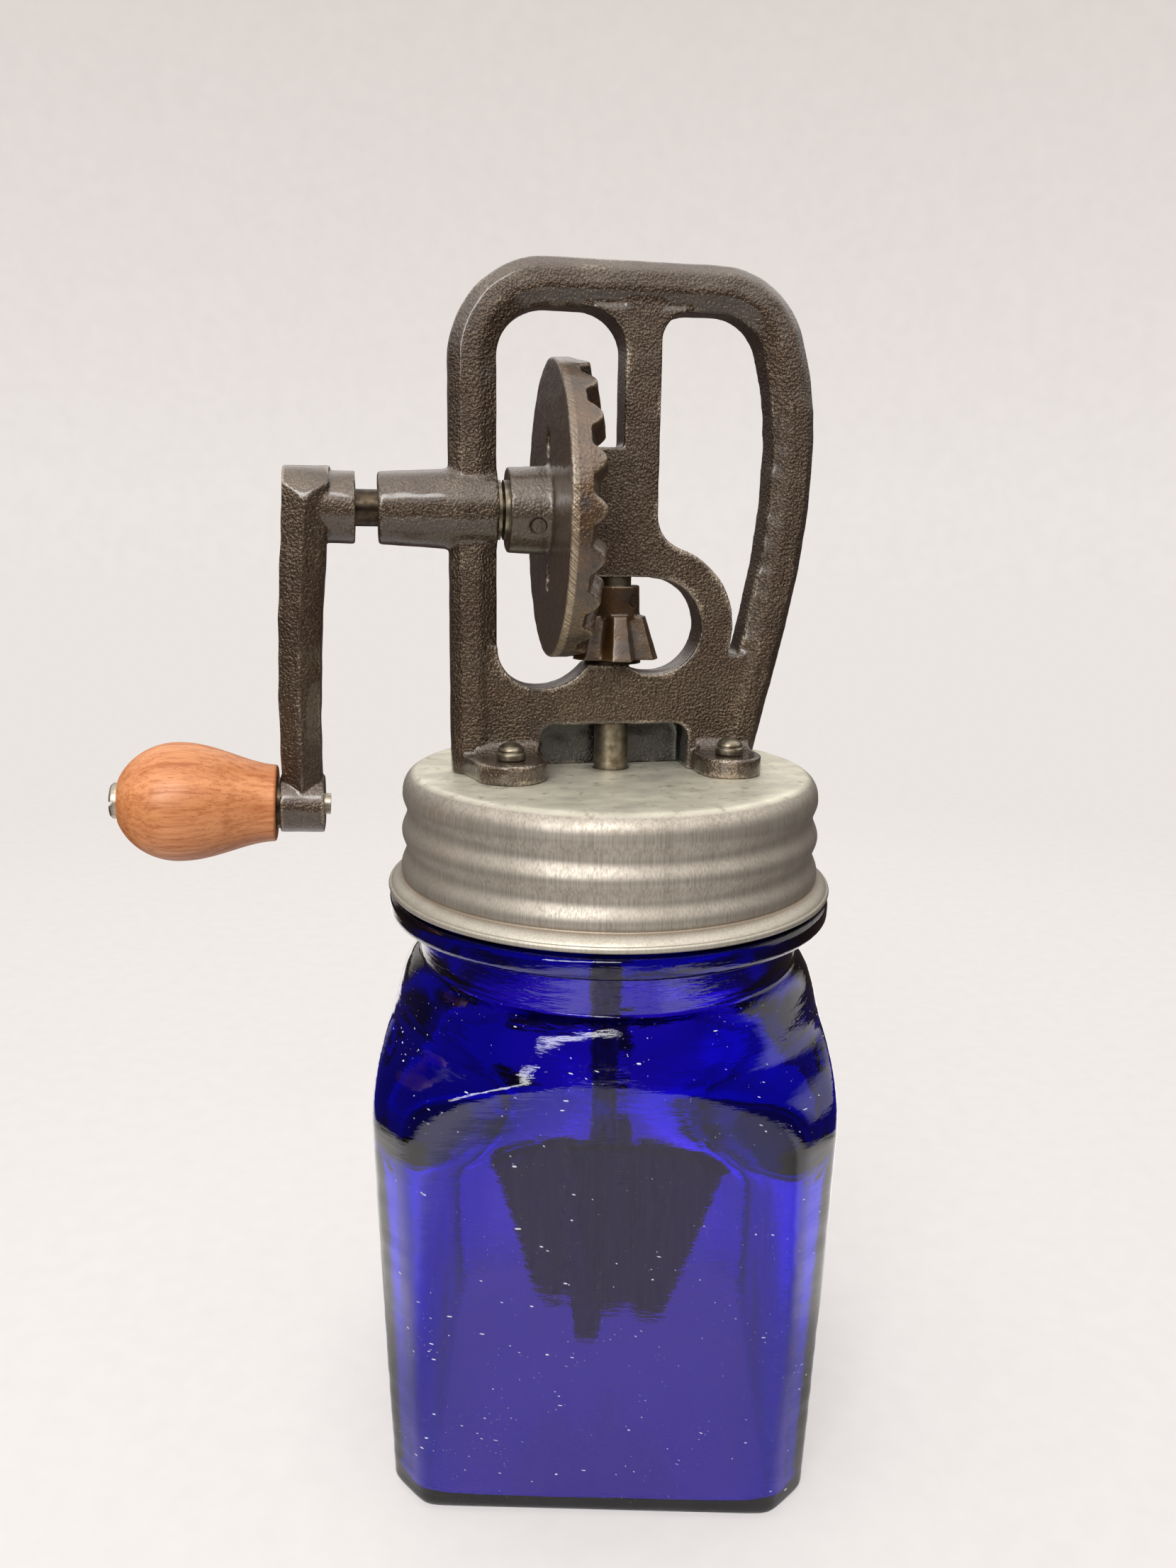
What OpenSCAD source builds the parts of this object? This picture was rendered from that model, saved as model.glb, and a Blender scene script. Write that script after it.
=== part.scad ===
// Glass jar butter churn: a square glass jar, a zinc screw lid, a cast-iron frame bolted to the lid,
// and a crank whose crown gear turns a bevel pinion on the dasher shaft.
// Millimetres. The origin is the middle of the jar's base. +Z is up, +X runs along the crank shaft
// towards the hand grip, and the front is -Y.

/* [Jar] */
// Width across the flats at the shoulder
jar_shoulder_w = 128; // [110:1:150]
// Width across the flats at the base
jar_base_w = 120.4; // [104:0.2:126]
// Leg of the flat that cuts each upright corner
jar_corner = 10.8; // [6:0.2:16]
// Height of the foot of the shoulder curve
jar_body_h = 115; // [95:1:130]
// Rise from there to the foot of the neck
jar_shoulder_rise = 36.5; // [30:0.5:50]
// Radius of the neck
jar_neck_r = 57; // [52:0.5:60]
// Height of the neck from its foot to the rim
jar_neck_h = 52.2; // [48:0.2:60]
// How far the bead under the lid stands out from the neck
jar_bead_out = 8.8; // [4:0.2:9]
// Height of the bare neck below the bead
jar_collar_h = 12.6; // [8:0.2:14]
// Height of the bead
jar_bead_h = 6.6; // [4.8:0.2:8]
// Thickness of the glass wall
jar_wall = 5; // [4:0.25:8]
// Thickness of the glass floor
jar_floor = 5; // [4:0.5:12]
// Height of the bevelled heel
jar_heel = 4; // [2:0.5:6]
// Turn of the jar below the frame, in degrees
jar_turn = -11.5; // [-45:0.5:45]

/* [Lid and seal] */
// Thickness of the zinc sheet
lid_sheet = 0.9; // [0.6:0.1:1.2]
// Distance from the neck to the middle of the lid's ridges
lid_over = 3.7; // [3:0.1:5]
// Height of a ridge above the middle radius
lid_ridge = 0.7; // [0.3:0.05:0.8]
// Number of ridges
lid_ridges = 3; // [2:1:3]
// Radius of the rolled corner at the top
lid_corner = 5; // [3:0.5:6]
// Drop from the last groove to the rolled rim
lid_skirt = 3.4; // [2.6:0.1:6]
// Distance the rolled rim stands out from the ridges
lid_flare = 4.6; // [3:0.1:5.5]
// Radius of the roll itself
lid_roll = 1.1; // [0.8:0.1:1.3]
// Thickness of the sealing ring
seal_t = 1.8; // [1:0.1:3]

/* [Frame casting] */
// Width of the handle bow
bow_w = 12.8; // [10:0.2:15]
// Half thickness of the bow along its ridge
bow_ridge = 7; // [6.4:0.1:9]
// Half thickness of the bow at its outer edge
bow_outer = 3.5; // [2:0.1:5]
// Half thickness of the bow at its inner edge
bow_inner = 4.6; // [3:0.1:5.5]
// Half thickness of the web between bow, post and bridge
web_half = 6; // [5.6:0.1:6.3]
// Outside radius of the bow's corner over the crank
corner_crank = 26.9; // [20:0.1:32]
// Outside radius of the bow's corner over the hand grip
corner_grip = 26; // [20:0.5:30]
// Reach of the grip side from the dasher axis
grip_reach = 57.2; // [54:0.2:62]
// Height of the bridge's top above the lid
bridge_h = 31.4; // [28:0.2:36]
// Width of the upright post
post_w = 10.2; // [9:0.2:14]
// Distance of the post from the dasher shaft
post_x = 1; // [-2:0.2:3]
// Width of the bearing block from the dasher axis towards the gear
block_left = 7.5; // [7:0.1:8.5]
// Height of the bearing block
block_h = 36; // [28:0.5:42]
// Offset of the pinion window from the dasher axis
window_x = 11.3; // [8:0.1:13]
// Width of the curved brace
brace_w = 9.6; // [7:0.2:12]
// Half width of the arch over the dasher shaft
arch_half = 22; // [14:0.5:23]
// Height of the arch
arch_h = 13.9; // [10:0.1:18]
// Thickness of the foot pads
foot_t = 5.6; // [4:0.1:8]
// Radius of the left feet
foot_left_r = 10.3; // [8:0.1:11]
// Radius of the right feet
foot_right_r = 9.3; // [8:0.1:10.5]
// Place of the left bolts along X
bolt_left_x = -31.5; // [-34:0.1:-29]
// Place of the right bolts along X
bolt_right_x = 32.7; // [30:0.1:34]
// Distance of the left bolts from the frame's middle plane
bolt_left_y = 14; // [13:0.1:17]
// Distance of the right bolts from the frame's middle plane
bolt_right_y = 12.8; // [12.5:0.1:16]
// Length of the crank bearing outside the bow
boss_len = 19.5; // [14:0.5:26]
// Radius of the crank bearing at the bow
boss_r = 10.9; // [9:0.1:12.5]
// Radius of the crank bearing at its free end
boss_end_r = 9.8; // [8:0.1:11]

/* [Gears] */
// Teeth of the crown gear
gear_teeth = 20; // [18:1:24]
// Teeth of the pinion
pinion_teeth = 6; // [5:1:8]
// Outside radius of the crown gear
gear_r = 41; // [36:0.5:44]
// Length of a gear tooth along the radius
gear_face = 9.5; // [7:0.5:10]
// Height of a gear tooth at the rim
gear_tooth_h = 3.7; // [3.4:0.1:5.2]
// Width of a gear tooth's foot at the rim
gear_tooth_w = 8.4; // [7.4:0.1:10]
// How far a gear tooth reaches past the pitch line at the rim
gear_reach = 2; // [1.8:0.1:2.6]
// How far a pinion tooth reaches past the pitch line
pinion_reach = 0.9; // [0.5:0.1:1.4]
// Thickness of the gear's rim behind the teeth
gear_rim_t = 5.5; // [4.5:0.1:7]
// Thickness of the gear's web
gear_web_t = 4; // [3:0.1:5]
// Radius of the gear's hub
gear_hub_r = 11.7; // [9:0.1:14]
// Length of the gear's hub behind the rim
gear_hub_len = 11.7; // [9:0.1:16]
// Radius of the two holes in the web
gear_hole_r = 3.7; // [2.5:0.1:4.5]
// Distance of those holes from the axis
gear_hole_at = 18.5; // [17:0.1:21]
// Length of a pinion tooth
pinion_face = 12; // [11.5:0.1:14]
// Radius of the pinion's hub
pinion_hub_r = 7.7; // [7:0.1:9]
// Height of the pinion's hub
pinion_hub_h = 8.5; // [6.5:0.1:9]

/* [Shafts and pins] */
// Radius of the crank shaft and of the dasher shaft
shaft_r = 5; // [4:0.1:5.4]
// Radius of the cross pins
pin_r = 2; // [1.4:0.1:2.4]
// Radius of the thrust washers
washer_r = 8.2; // [7:0.1:9]
// Thickness of the thrust washers
washer_t = 1; // [0.6:0.1:1.4]
// Bare shaft between the two thrust washers
washer_gap = 0.9; // [0.5:0.1:2]
// Bare shaft between the bearing and the crank
crank_gap = 6; // [3:0.5:10]

/* [Crank and knob] */
// Distance from the crank shaft to the knob's axis
arm_len = 82.8; // [65:0.2:100]
// Width of the arm along the shaft
arm_w = 12.2; // [10:0.2:15]
// Width of the arm at its foot
arm_foot_w = 10.8; // [9:0.2:13]
// Thickness of the arm across its ridges, at its foot
arm_ridge = 13.6; // [10:0.2:16]
// Thickness of the arm at its edges, at its foot
arm_edge = 7.6; // [4:0.2:9]
// Thickness of the arm across its ridges, at its head
arm_head_ridge = 23; // [19:0.2:25]
// Thickness of the arm at its edges, at its head
arm_head_edge = 18.4; // [16:0.2:20]
// Outward lean of the arm in degrees
arm_lean = 2.5; // [0:0.1:4]
// Radius of the arm's head
arm_head_r = 11; // [9:0.1:13]
// Radius of the arm's hub
arm_hub_r = 9.7; // [8:0.1:11]
// Length of the arm's hub
arm_hub_len = 7; // [5:0.5:10]
// Radius of the boss that holds the knob's spindle
arm_boss_r = 8.2; // [7:0.1:10]
// Length of the knob
knob_len = 42.6; // [34:0.2:52]
// Largest radius of the knob
knob_r = 16.7; // [13:0.1:19]
// Radius of the knob's inner end
knob_end_r = 10.9; // [9:0.1:12.5]
// Distance of the largest radius from the inner end
knob_belly = 26.5; // [20:0.5:30]
// Radius of the knob's spindle
spindle_r = 3; // [2.2:0.1:3.6]
// Radius of the spindle's slotted head
spindle_head_r = 5; // [4.2:0.1:5.8]

/* [Bolts] */
// Radius of the bolts' shanks
bolt_r = 2.5; // [2:0.1:3]
// Radius of the bolts' heads
bolt_head_r = 4.1; // [3.6:0.1:5]
// Height of the bolts' heads
bolt_head_h = 4.4; // [3:0.1:6]
// Thickness of the nuts
nut_t = 4; // [3:0.1:5]

/* [Dasher] */
// Thickness of the blades
blade_t = 5.6; // [4:0.1:8]
// Reach of a blade's top corner from the axis
blade_top_r = 44; // [34:0.5:45]
// Reach of a blade's bottom corner from the axis
blade_foot_r = 22; // [18:0.5:42]
// Height of the blades
blade_h = 72; // [50:1:76]
// Clearance of the blades above the jar's floor
blade_lift = 21; // [14:1:26]
// Radius of the wooden hub
hub_r = 12.5; // [11:0.1:14]
// Height of the wooden hub
hub_h = 60; // [36:1:64]
// Depth of the hub's grooves
groove_depth = 4; // [2:0.1:5]
// Turn of the first blade, in degrees
blade_turn = 65; // [0:1:89]

/* [Clearances] */
// Radial clearance of a running shaft or bore
run_clear = 0.06; // [0.02:0.01:0.1]
// Clearance of a fixed seat
seat_clear = 0.02; // [0.01:0.01:0.05]
// End float between faces that turn on each other
end_float = 0.3; // [0.2:0.05:0.6]
// Clearance cut round the gear teeth in the pinion
mesh_clear = 0.25; // [0.2:0.05:0.4]
// Radial clearance of a bolt in its hole
bolt_clear = 0.2; // [0.1:0.05:0.3]
// Gap between the lid's rolled rim and the jar's bead
rim_gap = 0.9; // [0.5:0.1:3]

/* [Hidden] */
$fn = 64;
// Overlap that lets one cut or boss run into its neighbour
eps = 0.5;
// A length past everything, for cuts
far = 200;
blade_count = 4;

// Heights
waist_z = jar_body_h + jar_shoulder_rise;
rim_z = waist_z + jar_neck_h;
deck_z = rim_z + seal_t + lid_sheet;

// The lid's skirt, from the top corner down: a wave of ridges, then the flare to the rolled rim
lid_r = jar_neck_r + lid_over;
lid_rim_r = lid_r + lid_flare;
lid_wave_z = deck_z - lid_corner - 1;
bead_z = waist_z + jar_collar_h;
bead_top_z = bead_z + jar_bead_h;
lid_rim_z = bead_top_z + rim_gap + lid_roll;
lid_flare_z = lid_rim_z + lid_skirt;
lid_pitch = (lid_wave_z - lid_flare_z) / (lid_ridges - 0.75);
lid_draft = 0.03;
wave_steps = 8;
wave_shift = 0.6;
shaft_hole_clear = 0.6;
seal_clear = 0.2;

// The jar's shoulder: an ellipse from the corners' reach, then a cone to the waist
corner_reach = norm([jar_shoulder_w / 2, jar_shoulder_w / 2 - jar_corner]) + 0.3;
corner_heel = 1;
inner_heel = 3;
bead_round = 2.2;
lip_round = 2;
collar_fillet = 1.5;
shoulder_sweep = 60;
shoulder_a = 17.5;
shoulder_b = 19;
shoulder_kink_r = jar_neck_r + 7.6;
shoulder_kink_z = 22.5;

// Gear train: the two axes cross at the apex, and every tooth tapers to it
hub_proud = 1;
hub_draft = 0.6;
tooth_sink = 1.2;
web_slope = 3;
pinion_over = 0.4;
pinion_draft = 0.3;
pitch_r = gear_r * pinion_teeth / gear_teeth;
tooth_from = gear_r - gear_face;
crest_x = -(pitch_r - gear_reach);
root_x = crest_x - gear_tooth_h;
gear_back_x = root_x - gear_rim_t;
hub_face_x = gear_back_x - gear_hub_len;
web_front_x = gear_back_x + gear_web_t;
hub_front_x = web_front_x + hub_proud;
pinion_r = pitch_r + pinion_reach;
crank_h = bridge_h + washer_t + end_float + pinion_over + gear_r;
apex_z = deck_z + crank_h;
pinion_foot_z = apex_z - gear_r - pinion_over;
pinion_top = gear_r - pinion_face;
pinion_top_z = apex_z - pinion_top;

// Along the crank shaft
boss_face_x = hub_face_x - 2 * washer_t - washer_gap;
bow_in_x = boss_face_x - end_float;
bow_out_x = bow_in_x - bow_w;
boss_end_x = bow_out_x - boss_len;
arm_hub_x = boss_end_x - crank_gap;
arm_x = arm_hub_x - arm_hub_len - arm_w / 2;
shaft_tip_x = hub_front_x + hub_draft;

// The bow's path along its outer edge: [radius, turn] for a bend and [0, length] for a straight
head_room = 12.7;
frame_h = crank_h + gear_r + head_room + bow_w;
grip_bend = 72;
side_r = 97;
leg_r = 230;
leg_lean = 13;
bend_step = 6;
bow_shoulder = 2.8;
bow_crown = 0.4;
leg_z = frame_h - corner_grip * (1 - cos(grip_bend)) - side_r * cos(grip_bend) - leg_r * sin(leg_lean);
bow_top = grip_reach - side_r - (corner_grip - side_r) * sin(grip_bend) - corner_crank - bow_out_x;
bow_path = [[0, frame_h - corner_crank], [corner_crank, 90], [0, bow_top], [corner_grip, grip_bend],
            [side_r, 90 - grip_bend], [leg_r, leg_lean], [0, leg_z / cos(leg_lean)]];

// The web's windows, seen from the front with Z measured from the lid
hub_gap = 2;
post_right = post_x + post_w;
bow_under = frame_h - bow_w;
block_bottom = crank_h - pinion_top + pinion_hub_h + hub_gap;
window_r = pinion_r + pinion_over;
window_z = block_bottom - window_r;
brace_r = window_r + brace_w;
brace_fillet = 10;
sill_r = 17;
sill_corner = 12.4;
sill_drop = 7;
sill_step = 2.6;
fillet_gear = 11;
fillet_grip = 8;
arch_corner = 4.5;
back_wall = 3;
wall_over = 3;
wall_clear = 0.5;
foot_fillet = 7;
fillet_in = 2;
pad_set = 1.5;
head_clear = 0.4;

// The crank arm's own frame: its origin is where the arm's middle meets the shaft's axis
boss_half = arm_w / 2;
knob_from = -boss_half - washer_t - end_float / 2;
knob_to = knob_from - knob_len;
spindle_head_t = 2;
spindle_bevel = 0.6;
spindle_proud = 1.5;

// The dasher
blade_step = 5;
blade_z = jar_floor + blade_lift;
hub_z = blade_z + blade_step;
blade_in_r = hub_r - groove_depth + seat_clear;
hub_bevel = 2;
shaft_foot_z = hub_z + hub_bevel;
shaft_top_z = apex_z - end_float;

function arc(cx, cy, rx, ry, from, to, n) =
    [for (i = [0 : n]) let (a = from + (to - from) * i / n) [cx + rx * cos(a), cy + ry * sin(a)]];

// Glass jar

// One pair of opposite sides, from wall to wall, with the heel's bevel and a wide top for the neck
module jar_sides(base_half, shoulder_half, floor_z, heel) {
    slope = (shoulder_half - base_half) / jar_body_h;
    panel_z = waist_z - 4;
    right = [[base_half + slope * floor_z - heel, floor_z],
             [base_half + slope * (floor_z + heel), floor_z + heel],
             [base_half + slope * panel_z, panel_z], [far, panel_z + far], [far, rim_z + far]];
    left = [for (i = [len(right) - 1 : -1 : 0]) [-right[i][0], right[i][1]]];
    rotate([90, 0, 0])
        linear_extrude(2 * far, center = true)
            polygon(concat(right, left));
}

// The square form with cut corners, drawn in by inset
module jar_prism(inset, floor_z, heel) {
    base = jar_base_w / 2;
    shoulder = jar_shoulder_w / 2;
    cut_base = (2 * base - jar_corner) / sqrt(2);
    cut_shoulder = (2 * shoulder - jar_corner) / sqrt(2);
    intersection_for (turn = [0, 1]) {
        rotate(turn * 90)
            intersection() {
                jar_sides(base - inset, shoulder - inset, floor_z, heel);
                rotate(45) jar_sides(cut_base - inset, cut_shoulder - inset, floor_z, heel + corner_heel);
            }
    }
}

// The turned form: body, shoulder, and waist
function shoulder_points(inset) = concat(
    arc(corner_reach - shoulder_a, jar_body_h - inset / 3, shoulder_a - inset, shoulder_b - inset / 3,
        0, shoulder_sweep, 8),
    [[shoulder_kink_r - inset, jar_body_h + shoulder_kink_z - inset / 3], [jar_neck_r - inset, waist_z]]);

module jar_outside() {
    bead_r = jar_neck_r + jar_bead_out;
    intersection() {
        jar_prism(0, 0, jar_heel);
        rotate_extrude()
            polygon(concat([[0, 0], [corner_reach, 0]], shoulder_points(0),
                arc(jar_neck_r + collar_fillet, bead_z - collar_fillet, collar_fillet, collar_fillet,
                    180, 90, 4),
                arc(bead_r - bead_round, bead_z + bead_round, bead_round, bead_round, -90, 0, 5),
                arc(bead_r - lip_round, bead_top_z - lip_round, lip_round, lip_round, 0, 90, 4),
                [[jar_neck_r, bead_top_z + 1]],
                arc(jar_neck_r - lip_round, rim_z - lip_round, lip_round, lip_round, 0, 90, 4),
                [[0, rim_z]]));
    }
}

module jar_inside() {
    intersection() {
        jar_prism(jar_wall, jar_floor, inner_heel);
        rotate_extrude()
            polygon(concat([[0, 0], [corner_reach - jar_wall, 0]], shoulder_points(jar_wall),
                [[jar_neck_r - jar_wall, rim_z + eps], [0, rim_z + eps]]));
    }
}

module glass_jar() {
    color("#2a1fa8")
        rotate(jar_turn)
            difference() {
                jar_outside();
                jar_inside();
            }
}

// Zinc lid and its seal

function wave_r(z) = lid_r + lid_ridge * cos(360 * (lid_wave_z - wave_shift - z) / lid_pitch)
    + (lid_wave_z - z) * lid_draft;
function skirt_points(inset) = concat(
    [for (i = [0 : wave_steps * lid_ridges])
        let (z = lid_wave_z - (lid_wave_z - lid_flare_z) * i / (wave_steps * lid_ridges))
        [wave_r(z) - inset, z]],
    [for (i = [1 : 5])
        let (t = i / 6, flare = lid_rim_r - wave_r(lid_flare_z))
        [wave_r(lid_flare_z) + flare * pow(t, 1.6) - inset, lid_flare_z - lid_skirt * t]]);
function lid_edge(inset) = concat(
    arc(wave_r(lid_wave_z) - lid_corner, lid_wave_z, lid_corner - inset, deck_z - lid_wave_z - inset,
        90, 0, 6),
    skirt_points(inset));

module screw_lid() {
    outer = lid_edge(0);
    inner = lid_edge(lid_sheet);
    color("#bfb7ad")
        difference() {
            rotate_extrude()
                polygon(concat([[0, deck_z]], outer,
                    arc(lid_rim_r - lid_sheet / 2, lid_rim_z, lid_roll, lid_roll, 60, -240, 10),
                    [for (i = [len(inner) - 1 : -1 : 0]) inner[i]], [[0, deck_z - lid_sheet]]));
            translate([0, 0, deck_z - far / 2]) cylinder(h = far, r = shaft_r + shaft_hole_clear);
            at_bolts() translate([0, 0, deck_z - far / 2]) cylinder(h = far, r = bolt_r + bolt_clear);
        }
}

module lid_seal() {
    seal_r = wave_r(lid_wave_z) - lid_corner - seal_clear;
    color("#4a4038")
        translate([0, 0, rim_z + seat_clear])
            difference() {
                cylinder(h = seal_t - seat_clear, r = seal_r);
                translate([0, 0, -eps]) cylinder(h = seal_t + 2 * eps, r = jar_neck_r - jar_wall);
            }
}

// Bolts through the feet and the lid

module at_bolts() {
    for (side = [-1, 1]) {
        translate([bolt_left_x, side * bolt_left_y, 0]) children();
        translate([bolt_right_x, side * bolt_right_y, 0]) children();
    }
}

washer_under = 1.2;
bolt_proud = 2;
head_bevel = 0.5;
nut_z = deck_z - lid_sheet - washer_under - nut_t;

module frame_bolts() {
    color("#90826d")
        at_bolts() {
            translate([0, 0, deck_z + foot_t])
                rotate_extrude()
                    polygon(concat([[0, 0], [bolt_head_r - head_bevel, 0], [bolt_head_r, head_bevel],
                                    [bolt_head_r, bolt_head_h * 0.45]],
                        arc(0, bolt_head_h * 0.5, bolt_head_r - head_bevel, bolt_head_h * 0.5, 0, 90, 6)));
            translate([0, 0, nut_z - bolt_proud])
                cylinder(h = deck_z + foot_t + eps - nut_z + bolt_proud, r = bolt_r);
        }
}

module bolt_washers() {
    color("#8e8778")
        at_bolts()
            translate([0, 0, deck_z - lid_sheet - washer_under])
                difference() {
                    cylinder(h = washer_under, r = bolt_r * 2.2);
                    translate([0, 0, -eps]) cylinder(h = washer_under + 2 * eps, r = bolt_r + bolt_clear);
                }
}

module bolt_nuts() {
    color("#857c6c")
        at_bolts()
            translate([0, 0, nut_z])
                difference() {
                    cylinder(h = nut_t, r = bolt_r * 1.85, $fn = 6);
                    translate([0, 0, -eps]) cylinder(h = nut_t + 2 * eps, r = bolt_r + seat_clear);
                }
}

// Frame casting

// Section of the bow: first the distance in from the outer edge, then the place across its thickness
bow_side = [[0, bow_outer], [bow_shoulder, bow_ridge - bow_crown], [bow_w * 0.62, bow_ridge],
            [bow_w, bow_inner]];
bow_section = concat(bow_side, [for (i = [len(bow_side) - 1 : -1 : 0]) [bow_side[i][0], -bow_side[i][1]]]);

// Stations along the bow's path, each a place in the front view and the turn that the path has made
function stations(path, i = 0, x = 0, z = 0, a = 0) = i == len(path) ? [] :
    let (r = path[i][0], turn = path[i][1])
    r == 0
        ? let (at = [x + turn * sin(a), z + turn * cos(a), a])
            concat([at], stations(path, i + 1, at[0], at[1], a))
        : let (n = ceil(turn / bend_step), cx = x + r * cos(a), cz = z - r * sin(a))
            concat([for (k = [1 : n]) let (b = a + turn * k / n) [cx - r * cos(b), cz + r * sin(b), b]],
                stations(path, i + 1, cx - r * cos(a + turn), cz + r * sin(a + turn), a + turn));

// Sweeps the section along the path
module bow(path) {
    at = concat([[0, 0, 0]], stations(path));
    n = len(bow_section);
    last = (len(at) - 1) * n;
    points = [for (t = at, p = bow_section) [t[0] + p[0] * cos(t[2]), p[1], t[1] - p[0] * sin(t[2])]];
    sides = [for (j = [0 : n : last - n], k = [0 : n - 1])
        let (next = (k + 1) % n) [j + next, j + n + next, j + n + k, j + k]];
    polyhedron(points, concat(sides, [[for (k = [n - 1 : -1 : 0]) k], [for (k = [0 : n - 1]) last + k]]));
}

// The area inside the bow, with its edge a distance in from the bow's outer edge
module bow_area(in) {
    grip_x = bow_out_x + corner_crank + bow_top;
    grip_z = frame_h - corner_grip;
    side_x = grip_x + (corner_grip - side_r) * sin(grip_bend);
    side_z = grip_z + (corner_grip - side_r) * cos(grip_bend);
    leg_end_x = side_x + side_r - leg_r * (1 - cos(leg_lean)) - leg_z * tan(leg_lean);
    crank_r = corner_crank - in;
    grip_r = corner_grip - in;
    polygon(concat([[bow_out_x + in, 0]],
        arc(bow_out_x + corner_crank, frame_h - corner_crank, crank_r, crank_r, 180, 90, 6),
        arc(grip_x, grip_z, grip_r, grip_r, 90, 90 - grip_bend, 6),
        arc(side_x, side_z, side_r - in, side_r - in, 90 - grip_bend, 0, 4),
        arc(side_x + side_r - leg_r, side_z, leg_r - in, leg_r - in, 0, -leg_lean, 4),
        [[leg_end_x - in / cos(leg_lean), 0]]));
}

// A concave corner of radius r in the quadrant given by sx and sy
module fillet(x, y, r, sx, sy) {
    translate([x, y])
        difference() {
            translate([sx > 0 ? -eps : -r, sy > 0 ? -eps : -r]) square(r + eps);
            translate([sx * r, sy * r]) circle(r);
        }
}

// Gear window: beside the post, round the bearing block and over the bridge, with the pinion's window
module gear_window() {
    sill_z = bridge_h - sill_drop;
    difference() {
        union() {
            translate([-far, block_bottom + block_h]) square([far + post_x, far]);
            translate([-far, block_bottom]) square([far - block_left, block_h + eps]);
            translate([-far, bridge_h]) square([far + window_x, block_bottom - bridge_h + eps]);
            translate([bow_in_x + sill_corner, sill_z + sill_corner]) circle(sill_corner);
            intersection() {
                translate([bow_in_x + sill_corner, sill_z + sill_r]) circle(sill_r);
                translate([bow_in_x + sill_corner, 0]) square(far);
            }
            translate([window_x, window_z]) circle(window_r);
        }
        translate([-far + bow_in_x + sill_corner, 0]) square([far, sill_z + sill_corner]);
        fillet(post_x, bow_under, fillet_gear, -1, -1);
    }
    translate([bow_in_x + sill_corner, sill_z + sill_corner]) circle(sill_corner);
}

// Grip window: between the post, the brace, and the bow's leg
module grip_window() {
    fillet_x = post_right + brace_fillet;
    fillet_z = window_z + sqrt(pow(brace_r + brace_fillet, 2) - pow(fillet_x - window_x, 2));
    difference() {
        translate([post_right, bridge_h + sill_step]) square(far);
        translate([window_x, window_z]) circle(brace_r);
        difference() {
            polygon([[window_x, window_z], [post_right - eps, window_z], [post_right - eps, fillet_z],
                     [fillet_x, fillet_z]]);
            translate([fillet_x, fillet_z]) circle(brace_fillet);
        }
        fillet(post_right, bow_under, fillet_grip, 1, -1);
    }
}

module arch_opening() {
    inner_half = arch_half - arch_corner;
    translate([-arch_half, -eps]) square([2 * arch_half, arch_h + eps - arch_corner]);
    translate([-inner_half, -eps]) square([2 * inner_half, arch_h + eps]);
    for (side = [-1, 1]) {
        translate([side * inner_half, arch_h - arch_corner]) circle(arch_corner);
    }
}

// Puts a front view in its upright plane
module upright(thickness) {
    rotate([90, 0, 0]) linear_extrude(thickness, center = true) children();
}

// A foot pad, and the curve that carries it into the casting
module foot(x, y, r, edge_x) {
    side = sign(y);
    reach = bow_ridge + foot_fillet - fillet_in;
    linear_extrude(foot_t) {
        translate([x, y]) circle(r);
        translate([x - r, min(0, y)]) square([2 * r, abs(y)]);
        polygon([[edge_x, 0], [x, 0], [x, y], [x + sign(edge_x - x) * r, y]]);
    }
    translate([x - r + pad_set, 0, 0])
        rotate([90, 0, 90])
            linear_extrude(2 * (r - pad_set))
                difference() {
                    translate([min(0, side * reach), foot_t - eps]) square([reach, foot_fillet + eps]);
                    translate([side * reach, foot_t + foot_fillet]) circle(foot_fillet);
                }
}

module frame() {
    wall_y = shaft_r + wall_clear;
    color("#52463a")
        translate([0, 0, deck_z])
            difference() {
                union() {
                    translate([bow_out_x, 0, 0]) bow(bow_path);
                    upright(2 * web_half)
                        difference() {
                            bow_area(bow_w * 0.55);
                            gear_window();
                            grip_window();
                            arch_opening();
                        }
                    translate([-arch_half - wall_over, wall_y, 0])
                        cube([2 * (arch_half + wall_over), web_half + back_wall - wall_y,
                              arch_h + 2 * wall_over]);
                    for (side = [-1, 1]) {
                        foot(bolt_left_x, side * bolt_left_y, foot_left_r, bow_out_x + eps);
                        foot(bolt_right_x, side * bolt_right_y, foot_right_r, bolt_right_x + foot_right_r);
                    }
                    translate([boss_end_x, 0, crank_h])
                        rotate([0, 90, 0])
                            cylinder(h = boss_len + eps, r1 = boss_end_r, r2 = boss_r);
                    translate([bow_out_x, 0, crank_h])
                        rotate([0, 90, 0])
                            cylinder(h = boss_face_x - bow_out_x, r = boss_r);
                }
                // Keeps the bow's slanted leg and everything else above the lid
                translate([-far, -far, -far]) cube([2 * far, 2 * far, far]);
                translate([boss_end_x - eps, 0, crank_h])
                    rotate([0, 90, 0])
                        cylinder(h = boss_face_x - boss_end_x + 2 * eps, r = shaft_r + run_clear);
                cylinder(h = crank_h, r = shaft_r + run_clear);
                at_bolts() translate([0, 0, -eps]) cylinder(h = far / 4, r = bolt_r + bolt_clear);
                at_bolts() translate([0, 0, foot_t]) cylinder(h = far / 8, r = bolt_head_r + head_clear);
            }
}

// Crank shaft, arm, and gear

module along_shaft(x) {
    translate([x, 0, apex_z]) rotate([0, 90, 0]) children();
}

gear_pin_tilt = 20;
gear_pin_x = gear_back_x - gear_hub_len * 0.35;
gear_pin_half = gear_hub_r + 0.8;

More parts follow.
